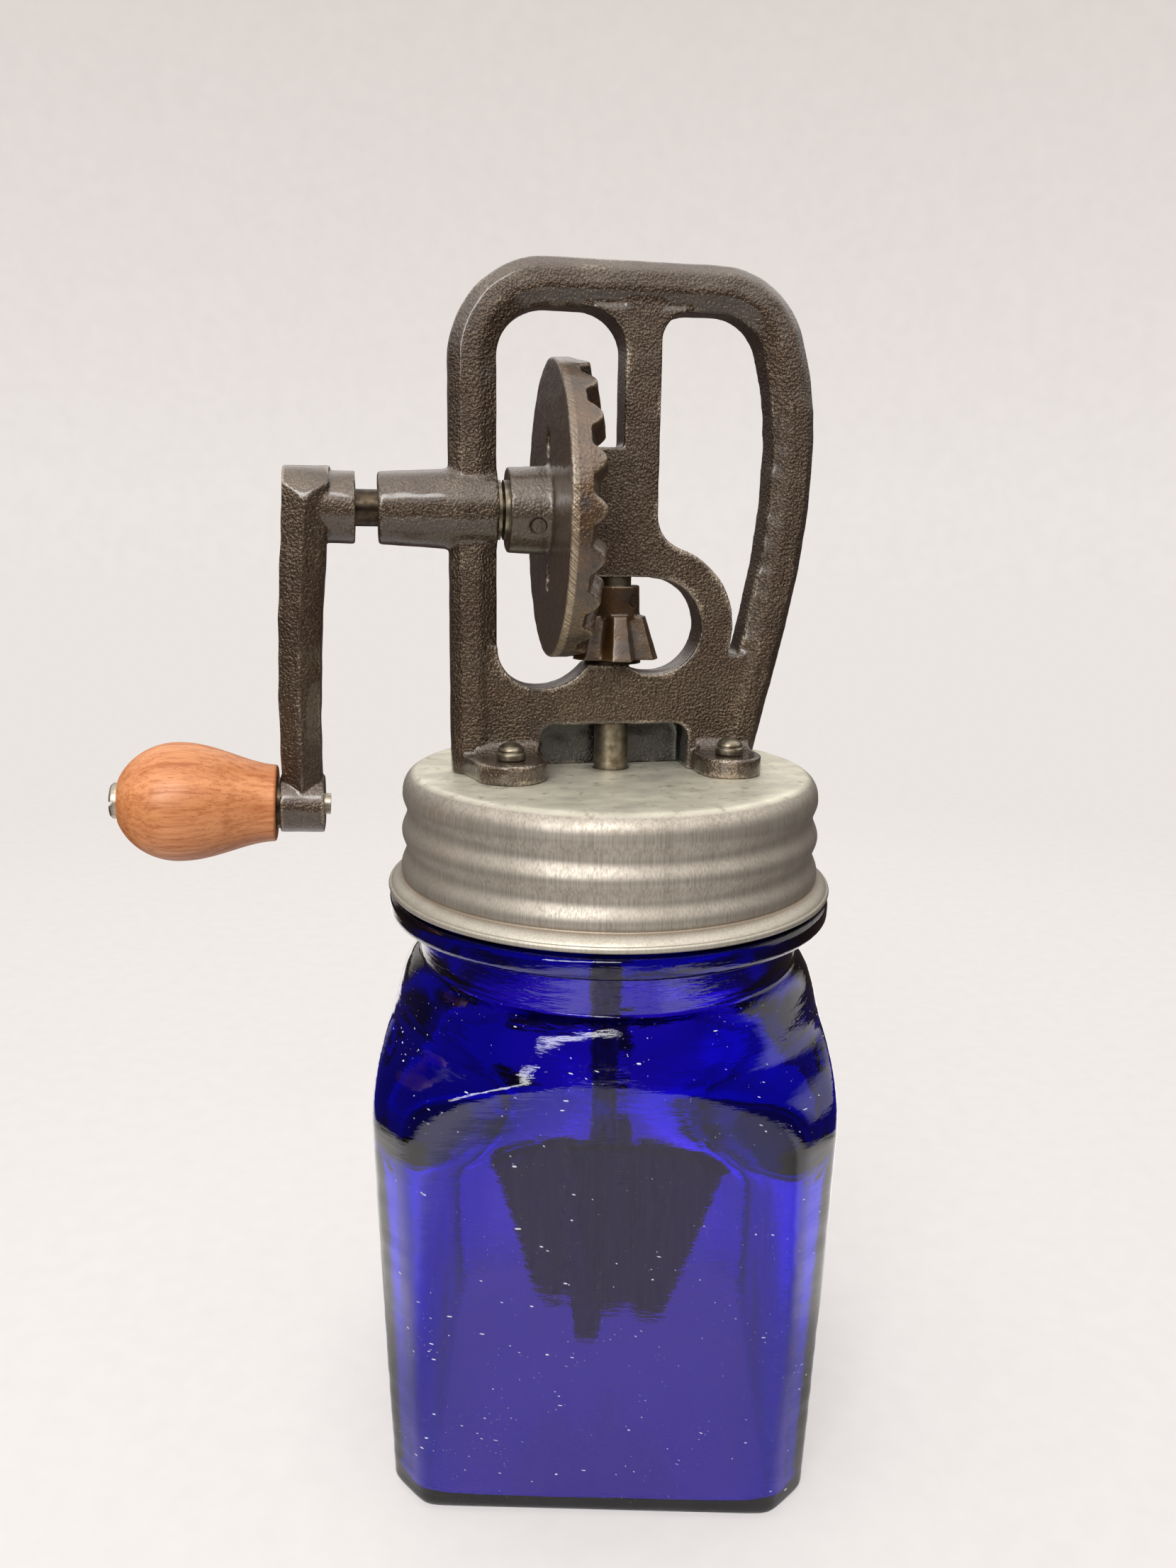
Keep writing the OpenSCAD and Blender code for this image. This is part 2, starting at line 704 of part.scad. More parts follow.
// Cross pin through the gear's hub, or its hole when grown by a clearance
module gear_pin_solid(grow) {
    translate([gear_pin_x, 0, apex_z])
        rotate([90 + gear_pin_tilt, 0, 0])
            cylinder(h = 2 * gear_pin_half, r = pin_r + grow, center = true);
}

module crank_shaft() {
    color("#6f6353")
        difference() {
            along_shaft(arm_x - arm_w / 2) cylinder(h = shaft_tip_x - arm_x + arm_w / 2, r = shaft_r);
            gear_pin_solid(seat_clear);
        }
}

module gear_pin() {
    color("#a89a80") gear_pin_solid(0);
}

module thrust_washer(x) {
    along_shaft(x)
        difference() {
            cylinder(h = washer_t, r = washer_r);
            translate([0, 0, -eps]) cylinder(h = washer_t + 2 * eps, r = shaft_r + run_clear);
        }
}

module frame_washer() {
    color("#b9ae9c") thrust_washer(boss_face_x);
}

module hub_washer() {
    color("#b9ae9c") thrust_washer(hub_face_x - washer_t);
}

// Outline of one gear tooth in the plane at the rim: a rounded lobe, grown by a clearance
tooth_steps = 5;
function tooth_outline(grow) = let (half = gear_tooth_w / 2 + grow, high = gear_tooth_h + grow) concat(
    [[root_x - tooth_sink, -half]],
    [for (i = [-tooth_steps : tooth_steps])
        [root_x + high * cos(90 * i / tooth_steps), half * i / tooth_steps]],
    [[root_x - tooth_sink, half]]);

// The same outline when the gear has turned by an angle, seen along the lines through the apex
function turned(points, angle) = [for (p = points)
    let (k = gear_r / (gear_r * cos(angle) - p[1] * sin(angle)))
    [k * p[0], k * (p[1] * cos(angle) + gear_r * sin(angle))]];

module gear_tooth() {
    outer = sqrt(pow(gear_r, 2) - pow(gear_tooth_w / 2, 2));
    translate([0, 0, -outer])
        linear_extrude(outer - tooth_from, scale = tooth_from / outer)
            scale(outer / gear_r) polygon(tooth_outline(0));
}

module crown_gear() {
    cone = root_x / gear_r;
    color("#483b2d")
        difference() {
            union() {
                along_shaft(0)
                    rotate_extrude()
                        polygon([[0, hub_face_x], [gear_hub_r, hub_face_x],
                                 [gear_hub_r + hub_draft, gear_back_x], [gear_r, gear_back_x],
                                 [gear_r, root_x], [tooth_from, cone * tooth_from],
                                 [tooth_from - web_slope, web_front_x], [gear_hub_r, web_front_x],
                                 [gear_hub_r - hub_draft, hub_front_x], [0, hub_front_x]]);
                translate([0, 0, apex_z])
                    for (i = [0 : gear_teeth - 1]) {
                        rotate([360 * i / gear_teeth, 0, 0]) gear_tooth();
                    }
            }
            along_shaft(hub_face_x - eps)
                cylinder(h = hub_front_x - hub_face_x + 2 * eps, r = shaft_r + seat_clear);
            for (side = [-1, 1]) {
                translate([gear_back_x - eps, 0, apex_z + side * gear_hole_at])
                    rotate([0, 90, 0])
                        cylinder(h = gear_web_t + 2 * eps, r = gear_hole_r);
            }
            gear_pin_solid(seat_clear);
        }
}

// Crank arm in its own frame: the arm hangs along -Z and the knob's spindle runs along X
module in_arm() {
    translate([arm_x, 0, apex_z]) rotate([0, arm_lean, 0]) children();
}

module along_spindle(x) {
    translate([x, 0, -arm_len]) rotate([0, 90, 0]) children();
}

// A thin slice of the arm: six-sided, with a ridge in front and one behind
module arm_slice(z, wide, edge, ridge) {
    translate([0, 0, z])
        linear_extrude(eps)
            polygon([[-wide / 2, -edge / 2], [0, -ridge / 2], [wide / 2, -edge / 2],
                     [wide / 2, edge / 2], [0, ridge / 2], [-wide / 2, edge / 2]]);
}

// The arm swells from its foot to its head, whose top is rounded about the shaft
module arm_bar() {
    intersection() {
        in_arm()
            hull() {
                arm_slice(-arm_len, arm_foot_w, arm_edge, arm_ridge);
                arm_slice(arm_head_r, arm_w, arm_head_edge, arm_head_ridge);
            }
        union() {
            along_shaft(arm_x - far / 2) cylinder(h = far, r = arm_head_r);
            translate([arm_x, 0, apex_z - far / 2]) cube(far, center = true);
        }
    }
}

module crank_arm() {
    color("#705a4c")
        difference() {
            union() {
                arm_bar();
                in_arm() along_spindle(-boss_half) cylinder(h = 2 * boss_half, r = arm_boss_r);
                along_shaft(arm_x) cylinder(h = arm_hub_x - arm_x, r = arm_hub_r);
            }
            along_shaft(arm_x - arm_w) cylinder(h = 2 * arm_w + arm_hub_len, r = shaft_r + seat_clear);
            in_arm()
                along_spindle(-boss_half - eps)
                    cylinder(h = 2 * (boss_half + eps), r = spindle_r + seat_clear);
        }
}

// Knob, turned like a pear: a neck that swells to the belly, then a rounded end
knob_flat_r = spindle_head_r + 1.2;
knob_lip = 0.6;
function knob_points() = concat(
    [[0, 0], [knob_end_r - knob_lip, 0], [knob_end_r, knob_lip]],
    [for (i = [1 : 9])
        let (t = i / 10)
        [knob_end_r + (knob_r - knob_end_r) * (1 - cos(180 * pow(t, 0.92))) / 2, knob_belly * t]],
    [for (p = arc(0, knob_belly, knob_r, knob_len - knob_belly + 1.4, 0, 70, 10))
        if (p[1] < knob_len && p[0] > knob_flat_r) p],
    [[knob_flat_r, knob_len], [0, knob_len]]);

module knob() {
    color("#dc9864")
        in_arm()
            translate([knob_from, 0, -arm_len])
                rotate([0, -90, 0])
                    difference() {
                        rotate_extrude() polygon(knob_points());
                        translate([0, 0, -eps])
                            cylinder(h = knob_len + 2 * eps, r = spindle_r + run_clear);
                    }
}

module knob_spindle() {
    head_x = knob_to - end_float / 2 - spindle_head_t;
    small_r = spindle_head_r - spindle_bevel;
    slot_w = 1.4;
    slot_depth = 1.1;
    color("#b5ac9c")
        in_arm()
            difference() {
                union() {
                    along_spindle(head_x + eps)
                        cylinder(h = boss_half + spindle_proud - head_x - eps, r = spindle_r);
                    along_spindle(head_x)
                        cylinder(h = spindle_bevel, r1 = small_r, r2 = spindle_head_r);
                    along_spindle(head_x + spindle_bevel)
                        cylinder(h = spindle_head_t - spindle_bevel, r = spindle_head_r);
                }
                translate([head_x - eps, -spindle_head_r - eps, -arm_len - slot_w / 2])
                    cube([slot_depth + eps, 2 * (spindle_head_r + eps), slot_w]);
            }
}

module knob_washer() {
    color("#3c332b")
        in_arm()
            along_spindle(-boss_half - washer_t)
                difference() {
                    cylinder(h = washer_t, r = arm_boss_r - 1);
                    translate([0, 0, -eps]) cylinder(h = washer_t + 2 * eps, r = spindle_r + seat_clear);
                }
}

// Pinion and dasher

pinion_pin_z = pinion_top_z + pinion_hub_h * 0.5;

module pinion_pin_solid(grow) {
    translate([0, 0, pinion_pin_z])
        rotate([90, 0, 40])
            cylinder(h = 2 * pinion_hub_r, r = pin_r * 0.8 + grow, center = true);
}

// Outline of the pinion in the plane at the gear's rim: a disc, less every place that a gear tooth
// sweeps as the two roll together
roll_reach = 20;
roll_step = 2;
module pinion_outline() {
    ratio = gear_teeth / pinion_teeth;
    tooth = tooth_outline(mesh_clear);
    difference() {
        circle(pinion_r, $fn = 72);
        for (i = [0 : pinion_teeth - 1], angle = [-roll_reach : roll_step : roll_reach]) {
            rotate(360 * i / pinion_teeth + angle * ratio) polygon(turned(tooth, angle));
        }
    }
}

module pinion() {
    big = (gear_r + pinion_over) / gear_r;
    color("#413118")
        difference() {
            union() {
                translate([0, 0, pinion_foot_z])
                    linear_extrude(pinion_top_z - pinion_foot_z, scale = pinion_top / (gear_r + pinion_over))
                        scale(big) pinion_outline();
                translate([0, 0, pinion_top_z - eps])
                    cylinder(h = pinion_hub_h + eps, r1 = pinion_hub_r, r2 = pinion_hub_r - pinion_draft);
            }
            translate([0, 0, pinion_foot_z - eps]) cylinder(h = far / 4, r = shaft_r + seat_clear);
            pinion_pin_solid(seat_clear);
        }
}

module pinion_pin() {
    color("#a89a80") pinion_pin_solid(0);
}

module pinion_washer() {
    color("#2c2620")
        translate([0, 0, deck_z + bridge_h])
            difference() {
                cylinder(h = washer_t, r = washer_r);
                translate([0, 0, -eps]) cylinder(h = washer_t + 2 * eps, r = shaft_r + run_clear);
            }
}

dasher_pin_z = hub_z + hub_h * 0.8;

module dasher_pin_solid(grow) {
    translate([0, 0, dasher_pin_z])
        rotate([90, 0, blade_turn + 180 / blade_count + 90])
            cylinder(h = 2 * hub_r, r = pin_r + grow, center = true);
}

module dasher_shaft() {
    color("#82775c")
        difference() {
            translate([0, 0, shaft_foot_z]) cylinder(h = shaft_top_z - shaft_foot_z, r = shaft_r);
            pinion_pin_solid(seat_clear);
            dasher_pin_solid(seat_clear);
        }
}

module dasher_pin() {
    color("#a89a80") dasher_pin_solid(0);
}

module at_blade(i) {
    rotate(blade_turn + 360 * (i - 1) / blade_count) children();
}

module dasher_hub() {
    groove = blade_t + 2 * seat_clear;
    color("#b98a5c")
        difference() {
            translate([0, 0, hub_z])
                rotate_extrude()
                    polygon([[0, 0], [hub_r - hub_bevel, 0], [hub_r, hub_bevel], [hub_r, hub_h - hub_bevel],
                             [hub_r - hub_bevel, hub_h], [0, hub_h]]);
            translate([0, 0, shaft_foot_z]) cylinder(h = far, r = shaft_r + seat_clear);
            for (i = [1 : blade_count]) {
                at_blade(i)
                    translate([hub_r - groove_depth, -groove / 2, hub_z - eps])
                        cube([groove_depth + eps, groove, hub_h + 2 * eps]);
            }
            dasher_pin_solid(seat_clear);
        }
}

// A flat board with its outer edge slanted in towards the foot
module dasher_blade(i) {
    neck_r = hub_r + 1;
    bevel = 4;
    color("#b98a5c")
        at_blade(i)
            translate([0, 0, blade_z])
                upright(blade_t)
                    polygon([[blade_in_r, blade_step], [neck_r, 0], [blade_foot_r - bevel, 0],
                             [blade_foot_r, bevel], [blade_top_r, blade_h - bevel],
                             [blade_top_r - bevel, blade_h], [neck_r, blade_h],
                             [blade_in_r, blade_step + hub_h]]);
}

glass_jar();
screw_lid();
lid_seal();
frame();
frame_bolts();
bolt_washers();
bolt_nuts();
crank_shaft();
crank_arm();
crown_gear();
gear_pin();
frame_washer();
hub_washer();
pinion();
pinion_pin();
pinion_washer();
dasher_shaft();
dasher_hub();
dasher_pin();
for (i = [1 : blade_count]) {
    dasher_blade(i);
}
knob();
knob_spindle();
knob_washer();
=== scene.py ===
"""Looks of a glass jar butter churn: pressed glass, rolled zinc, cast iron, oiled steel and turned wood.

Laid out as an add-on and run as a script. The packed CAD model is the fixed frame, and every piece sits
where its node is. Mesh code works in millimetres and goes through MM to Blender's metres.
"""

import math

import bmesh
import bpy
import numpy as np
from bpy.props import FloatProperty, FloatVectorProperty, IntProperty, PointerProperty
from mathutils import Matrix, Vector, noise


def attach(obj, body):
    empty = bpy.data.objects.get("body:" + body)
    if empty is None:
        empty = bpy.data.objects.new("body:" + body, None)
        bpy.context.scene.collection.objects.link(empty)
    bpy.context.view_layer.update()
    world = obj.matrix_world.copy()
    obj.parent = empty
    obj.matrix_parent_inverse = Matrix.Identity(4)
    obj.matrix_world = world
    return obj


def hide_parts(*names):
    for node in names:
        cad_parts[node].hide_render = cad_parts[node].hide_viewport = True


bl_info = {
    "name": "Glass jar butter churn",
    "version": (1, 0, 0),
    "blender": (4, 5, 0),
    "location": "View3D > Sidebar > Churn",
    "description": "Builds the looks of a glass jar butter churn around its packed CAD model",
    "category": "Add Mesh",
}

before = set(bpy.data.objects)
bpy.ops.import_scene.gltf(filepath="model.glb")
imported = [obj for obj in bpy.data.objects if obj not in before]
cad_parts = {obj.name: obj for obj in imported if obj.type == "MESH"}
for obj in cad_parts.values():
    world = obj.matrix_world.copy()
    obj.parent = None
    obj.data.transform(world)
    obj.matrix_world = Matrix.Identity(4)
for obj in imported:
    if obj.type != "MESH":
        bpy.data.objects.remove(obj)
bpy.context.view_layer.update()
MM = 0.001
QUARTER = math.pi / 2

# The jar's form, as in the CAD part: a square body with cut corners under a turned shoulder and neck
JAR_TURN = math.radians(-11.5)
JAR_BASE_HALF = 60.2
JAR_SHOULDER_HALF = 64.0
JAR_CORNER = 10.8
JAR_BODY_H = 115.0
JAR_WAIST_Z = 151.5
JAR_RIM_Z = 203.7
JAR_NECK_R = 57.0
JAR_WALL = 5.0
JAR_FLOOR = 2.8
JAR_HEEL = 3.4
JAR_INNER_HEEL = 2.2
COLLAR_FILLET = 1.5
BEAD_R = 65.8
BEAD_Z = 164.1
BEAD_TOP_Z = 170.7
BEAD_ROUND = 2.2
LIP_R = 2.0
SHOULDER_MID_R = 66.02
SHOULDER_A = 17.5
SHOULDER_B = 19.0
SHOULDER_CREST = ((67.5, 135.4), (65.2, 138.8), (63.5, 143.0), (61.7, 146.8), (59.5, 149.7))
BEAD_UNDER_R = 60.0
BEAD_TOP_RADII = (61.0, 58.0)

# Inside the jar: heights and what the wall gains there, then heights and radii of the bore
HEAVY_WALL = ((115, 140, 165, 190), (0, 2.4, 2.4, 0))
BORE = ((98, 111, 121, 128, 140), (92, 69, 59.5, 55.5, 51.2))
BORE_TOP_Z = 150
BORE_SOFT = 2.0
INNER_SOFT = (3.0, 3.0)

# The jar's facets: steps round it, the height where they get finer, and its floor's rings as shares of its radius
JAR_STEPS = 264
JAR_FINE_Z = 132
FLOOR_RINGS = (0.3, 0.6, 0.85)

# The lid's profile
DECK_Z = 206.4
LID_R = 60.7
LID_RIDGE = 0.7
LID_CORNER = 5.0
LID_WAVE_Z = 200.4
LID_PITCH = 10.8
LID_SHIFT = 0.6
LID_DRAFT = 0.03
LID_FLARE_Z = 176.1
LID_SKIRT = 3.4
LID_RIM_R = 65.3
LID_RIM_Z = 172.7
LID_ROLL = 1.1
LID_SHEET = 0.9
LID_HOLE_R = 5.6
LID_FLARE_POWER = 2.2
LID_STEPS = 288

# Places and sizes of the crank, the knob and the gear
APEX_Z = 280.5
ARM_X = -85.8
ARM_LEN = 82.8
ARM_LEAN = math.radians(2.5)
KNOB_FROM = -7.25
KNOB_LEN = 42.6
KNOB_R = 16.7
KNOB_END_R = 10.9
KNOB_BELLY = 26.5
KNOB_FLAT_R = 6.2
KNOB_LIP = 0.6
KNOB_BORE_R = 3.06
KNOB_CROWN = 1.4
KNOB_STEPS = 128
GEAR_R = 41.0
GEAR_BACK_X = -19.5

# Frame bolts: (x, y) of their axes, their sizes, and how far each is turned from the one before it
BOLT_PLACES = ((-31.5, -14.0), (-31.5, 14.0), (32.7, -12.8), (32.7, 12.8))
BOLT_HEAD_Z = 212.0
BOLT_HEAD_R = 4.1
BOLT_HEAD_H = 5.0
BOLT_R = 2.5
BOLT_END_Z = 198.3
BOLT_TURN = 0.9
BOLT_STEPS = 40

# The stage in metres: floor, lamps, and the camera as it was solved from the photograph
FLOOR_R = 6.0
FLOOR_SIDES = 64
FLOOR_Z = -0.3 * MM
LAMP_AIM = Vector((0, 0, 0.18))
STRIP_PLACE = (-0.427, -0.884, 0.756)
STRIP_ROLL = math.radians(43)
OVERHEAD_PLACE = (-0.3, 0.0, 1.3)
EYE = Vector((-70.5, -337.0, 276.7)) * MM
LOOK = Vector((0.1817, 0.9596, -0.2147))
EYE_ROLL = math.radians(0.877)
SENSOR = 36


def linear(code):
    """An sRGB hex value as linear red, green and blue."""
    parts = [int(code[i:i + 2], 16) / 255 for i in (1, 3, 5)]
    return tuple(c / 12.92 if c <= 0.04045 else ((c + 0.055) / 1.055) ** 2.4 for c in parts)


def colour(name, description, code):
    """A colour property whose default is an sRGB hex value."""
    return FloatVectorProperty(name=name, description=description, default=linear(code),
                               subtype="COLOR", size=3, min=0, max=1)


def length(name, description, millimetres):
    """A length property whose default is in millimetres."""
    return FloatProperty(name=name, description=description, default=millimetres * MM, min=0, unit="LENGTH",
                         precision=5)


def amount(name, description, value, unit="NONE"):
    """A number property that is never less than nothing."""
    return FloatProperty(name=name, description=description, default=value, min=0, unit=unit)


class ChurnGlass(bpy.types.PropertyGroup):
    """Sizes and colours of the jar."""

    tint: colour("Tint", "Colour that the glass lets through", "#8f35ef")
    density: amount("Density", "Absorption per metre of glass", 430)
    edge: length("Edge", "Softness of the edges between flats and corners", 1.1)
    shoulder_edge: length("Shoulder edge", "Softness of the arches where the shoulder meets the flats", 1.8)
    ripple: length("Ripple", "Height of the slow waves that pressing left in the walls", 0.16)
    ripple_size: length("Ripple size", "Length of the slow waves", 21)
    fold: length("Fold", "Height of the level folds at the corners", 0.22)
    fold_size: length("Fold size", "Distance between those folds", 5)
    flecks: IntProperty(name="Flecks", description="Flecks per square metre of glass", default=52000, min=0)
    fleck: length("Fleck", "Radius of the largest flecks", 0.65)
    seed: IntProperty(name="Seed", description="Seed of the flecks' places", default=7)


class ChurnMetal(bpy.types.PropertyGroup):
    """Sizes and colours of the zinc, iron and steel."""

    zinc: colour("Zinc", "Rolled zinc of the lid's skirt", "#aaa398")
    zinc_dark: colour("Zinc streaks", "Dull streaks in the lid's skirt", "#81796e")
    # The deck's colour is also painted on the brim as a painted highlight
    zinc_deck_and_brim_highlight: colour("Zinc deck", "Weathered top of the lid", "#f0edd8")
    # The stain colour is also painted into the crease over the brim as painted shade
    zinc_stain_and_crease_shade: colour("Zinc stain", "Brown stains at the lid's top corner", "#84725c")
    iron: colour("Iron", "Oiled cast iron", "#594a39")
    iron_dark: colour("Iron hollows", "Cast iron in its hollows and pits", "#33271d")
    iron_worn: colour("Worn iron", "Cast iron where hands and files have worn it", "#a89986")
    gear: colour("Gear", "Oiled iron of the gears", "#573d1e")
    gear_ground: colour("Ground rim", "Ground edge of the crown gear", "#a8957a")
    plated: colour("Plated steel", "Worn plating on bolts and shaft", "#8a8272")
    oiled: colour("Oiled steel", "Dark oiled steel", "#4a3f33")
    frame_voxel: length("Frame facets", "Facet size of the frame's fine copy", 0.65)
    gear_voxel: length("Gear facets", "Facet size of the crown gear's fine copy", 0.45)
    arm_voxel: length("Arm facets", "Facet size of the crank arm's fine copy", 0.36)
    pinion_voxel: length("Pinion facets", "Facet size of the pinion's fine copy", 0.27)
    # Painted shade: this near-black colour is painted into the pocket under the bridge
    grease: colour("Old grease", "Blackened grease in the pocket round the shaft", "#17110d")
    iron_red: colour("Rusty iron", "Warm patches in the oiled iron", "#493526")
    peel: length("Sand grain", "Size of the sand mould's grain on the castings", 0.74)
    arm_bow: length("Arm bow", "How far the crank arm bows outwards at its middle", 1.2)


class ChurnWood(bpy.types.PropertyGroup):
    """Sizes and colours of the wood and the seal."""

    knob: colour("Knob", "Oiled beech of the knob", "#dc9460")
    knob_dark: colour("Knob grain", "Darker grain of the knob", "#a85d2a")
    dasher: colour("Dasher", "Wet wood of the dasher", "#7d5c3c")
    dasher_dark: colour("Dasher grain", "Darker grain of the dasher", "#6a4b2e")
    grain: length("Grain", "Spacing of the wood's grain lines", 1.1)
    seal: colour("Seal", "Rubber of the sealing ring", "#4a4038")


class ChurnStage(bpy.types.PropertyGroup):
    """Floor, background, lamps and camera."""

    paper: colour("Paper", "Paper that the churn stands on", "#f6f1ee")
    horizon: colour("Horizon", "Background at the height of the eye", "#ece6e2")
    top: colour("Top", "Background over the churn", "#dcd4cf")
    room: colour("Room", "Dim room that gloss shows past the paper", "#453a37")
    ambient: amount("Ambient", "Soft light from all round", 0.44)
    key: amount("Key", "Power of the strip lamp left of the camera", 6.4, "POWER")
    tube: amount("Tube", "Power of the bright tube in the strip lamp", 2.4, "POWER")
    overhead: amount("Overhead", "Power of the wide lamp overhead", 8.5, "POWER")
    card: amount("Cards", "Brightness of the side cards that glass mirrors", 1.6)
    glow: amount("Glow", "Brightness overhead that dull metal reflects", 3.4)
    lens: FloatProperty(name="Lens", description="Focal length on a 36 mm sensor", default=27.015, min=1,
                        subtype="DISTANCE_CAMERA")


def feed(node, inputs):
    """Gives a node's sockets, by name or in order, a value each or the output that feeds them."""
    for key, value in inputs.items() if isinstance(inputs, dict) else enumerate(inputs):
        socket = node.inputs[key]
        if isinstance(value, bpy.types.NodeSocket):
            node.id_data.links.new(value, socket)
        else:
            socket.default_value = (*value, 1.0) if socket.type == "RGBA" else value


def add(tree, kind, inputs=(), out=None, **settings):
    """Adds a node with its settings and inputs, and returns its first output in use, or the one that out names."""
    node = tree.nodes.new(kind)
    for name, value in settings.items():
        setattr(node, name, value)
    feed(node, inputs)
    return next((o for o in node.outputs if o.enabled), None) if out is None else node.outputs[out]


def start_nodes(owner):
    """The node tree of a material or a world, emptied."""
    owner.use_nodes = True
    owner.node_tree.nodes.clear()
    return owner.node_tree


def start_material(name):
    """A new material with one shader: the material, its tree, the shader and the Object coordinates."""
    material = bpy.data.materials.new(name)
    tree = start_nodes(material)
    shader = add(tree, "ShaderNodeBsdfPrincipled").node
    add(tree, "ShaderNodeOutputMaterial", {"Surface": shader.outputs[0]})
    return material, tree, shader, add(tree, "ShaderNodeTexCoord", out="Object")


def put(name, data):
    """A new object in the scene."""
    piece = bpy.data.objects.new(name, data)
    bpy.context.scene.collection.objects.link(piece)
    return piece


def skin(name, rings, closed=False):
    """An object skinned over rings of points in millimetres; a ring of one point is a pole."""
    starts = np.cumsum([0] + [len(ring) for ring in rings])
    faces = []
    pairs = list(range(len(rings) - 1)) + ([-1] if closed else [])
    for i in pairs:
        j = i + 1
        low, high = rings[i], rings[j]
        a, b = int(starts[i % len(rings)]), int(starts[j])
        count = max(len(low), len(high))
        for k in range(count):
            n = (k + 1) % count
            if len(low) == 1:
                faces.append((a, b + n, b + k))
            elif len(high) == 1:
                faces.append((a + k, a + n, b))
            else:
                faces.append((a + k, a + n, b + n, b + k))
    mesh = bpy.data.meshes.new(name)
    mesh.from_pydata((np.concatenate(rings) * MM).tolist(), [], faces)
    shape = bmesh.new()
    shape.from_mesh(mesh)
    if shape.calc_volume(signed=True) < 0:
        bmesh.ops.reverse_faces(shape, faces=shape.faces)
    shape.to_mesh(mesh)
    shape.free()
    mesh.shade_smooth()
    return put(name, mesh)


def lathe(name, profile, steps, place=Matrix.Identity(4), closed=False):
    """A turned piece: (radius, height) pairs in millimetres round the Z axis of place."""
    turn = np.arange(steps) * 2 * math.pi / steps
    rings = []
    for radius, height in profile:
        points = np.array([[0.0, 0.0, height]]) if radius < 1e-6 else np.stack(
            [radius * np.cos(turn), radius * np.sin(turn), np.full(steps, height)], axis=1)
        rings.append(points @ np.array(place.to_3x3()).T + np.array(place.translation))
    return skin(name, rings, closed)


def arc(centre, radii, start, end, count):
    """Points on the arc of a circle, or of an ellipse with two radii, from one angle to another in degrees."""
    across, up = np.broadcast_to(radii, 2)
    angles = np.radians(np.linspace(start, end, count))
    return [(centre[0] + across * math.cos(a), centre[1] + up * math.sin(a)) for a in angles]


def bake(piece):
    """Turns a piece's modifiers into its plain mesh."""
    graph = bpy.context.evaluated_depsgraph_get()
    mesh = bpy.data.meshes.new_from_object(piece.evaluated_get(graph))
    piece.modifiers.clear()
    piece.data = mesh
    return piece


def merged_copy(node, name):
    """A copy of a CAD node with its loose triangles merged into one mesh."""
    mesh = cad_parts[node].data.copy()
    mesh.materials.clear()
    shape = bmesh.new()
    shape.from_mesh(mesh)
    bmesh.ops.remove_doubles(shape, verts=shape.verts, dist=0.002 * MM)
    shape.to_mesh(mesh)
    shape.free()
    return put(name, mesh)


def bevelled_copy(node, name, width):
    """A copy of a CAD node with its edges broken, as sandpaper leaves them."""
    piece = merged_copy(node, name)
    edge = math.radians(40)
    planar = piece.modifiers.new("Planar", "DECIMATE")
    planar.decimate_type = "DISSOLVE"
    planar.angle_limit = math.radians(1)
    bevel = piece.modifiers.new("Bevel", "BEVEL")
    bevel.width = width * MM
    bevel.segments = 3
    bevel.angle_limit = edge
    bake(piece)
    piece.data.shade_smooth()
    piece.data.set_sharp_from_angle(angle=edge)
    return piece


def vertex_array(mesh, what):
    """A mesh's vertex places or normals as an array of rows."""
    values = np.empty(len(mesh.vertices) * 3)
    mesh.vertices.foreach_get(what, values)
    return values.reshape(-1, 3)


def neighbour_means(mesh, values, rounds):
    """Values averaged over each vertex's neighbours, some rounds over."""
    edges = np.empty(len(mesh.edges) * 2, int)
    mesh.edges.foreach_get("vertices", edges)
    one, other = edges.reshape(-1, 2).T
    shares = np.bincount(edges, minlength=len(values))
    for _ in range(rounds):
        sums = [np.bincount(one, column[other], len(column)) + np.bincount(other, column[one], len(column))
                for column in values.T]
        values = np.stack(sums, axis=1) / shares[:, None]
    return values


def lumps(points, size, seed):
    """Smooth noise from -1 to 1 at points in metres, with lumps of that size in millimetres."""
    scale = 1 / (size * MM)
    shift = Vector((seed * 17.3, seed * 5.1, seed * 9.7))
    return np.array([noise.noise(Vector(p) * scale + shift) for p in points])


def casting(node, name, voxel, rounds, lump, lump_size):
    """A fine copy of a CAD casting: remeshed, edges rounded, faces uneven, with its wear as an attribute."""
    piece = merged_copy(node, name)
    remesh = piece.modifiers.new("Remesh", "REMESH")
    remesh.mode = "VOXEL"
    remesh.voxel_size = voxel
    smooth = piece.modifiers.new("Smooth", "SMOOTH")
    smooth.factor = 0.5
    smooth.iterations = rounds
    mesh = bake(piece).data
    places, normals = vertex_array(mesh, "co"), vertex_array(mesh, "normal")
    proud = np.sum((places - neighbour_means(mesh, places, rounds=10)) * normals, axis=1) / voxel
    wear = neighbour_means(mesh, proud[:, None], rounds=2)[:, 0]
    mesh.attributes.new("wear", "FLOAT", "POINT").data.foreach_set("value", wear.astype(np.float32))
    places += normals * (lumps(places, lump_size, seed=1) * lump * MM)[:, None]
    mesh.vertices.foreach_set("co", places.ravel())
    mesh.shade_smooth()
    mesh.update()
    return piece


def settle(piece, body, material=None, replaced=()):
    """Gives a finished piece its material and its body, and hides the CAD nodes that it stands for."""
    if material is not None:
        piece.data.materials.clear()
        piece.data.materials.append(material)
    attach(piece, body)
    if replaced:
        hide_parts(*replaced)


def dress(material, *nodes):
    """Puts a material on CAD nodes whose shape is right as it is."""
    for node in nodes:
        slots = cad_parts[node].data.materials
        slots.clear()
        slots.append(material)


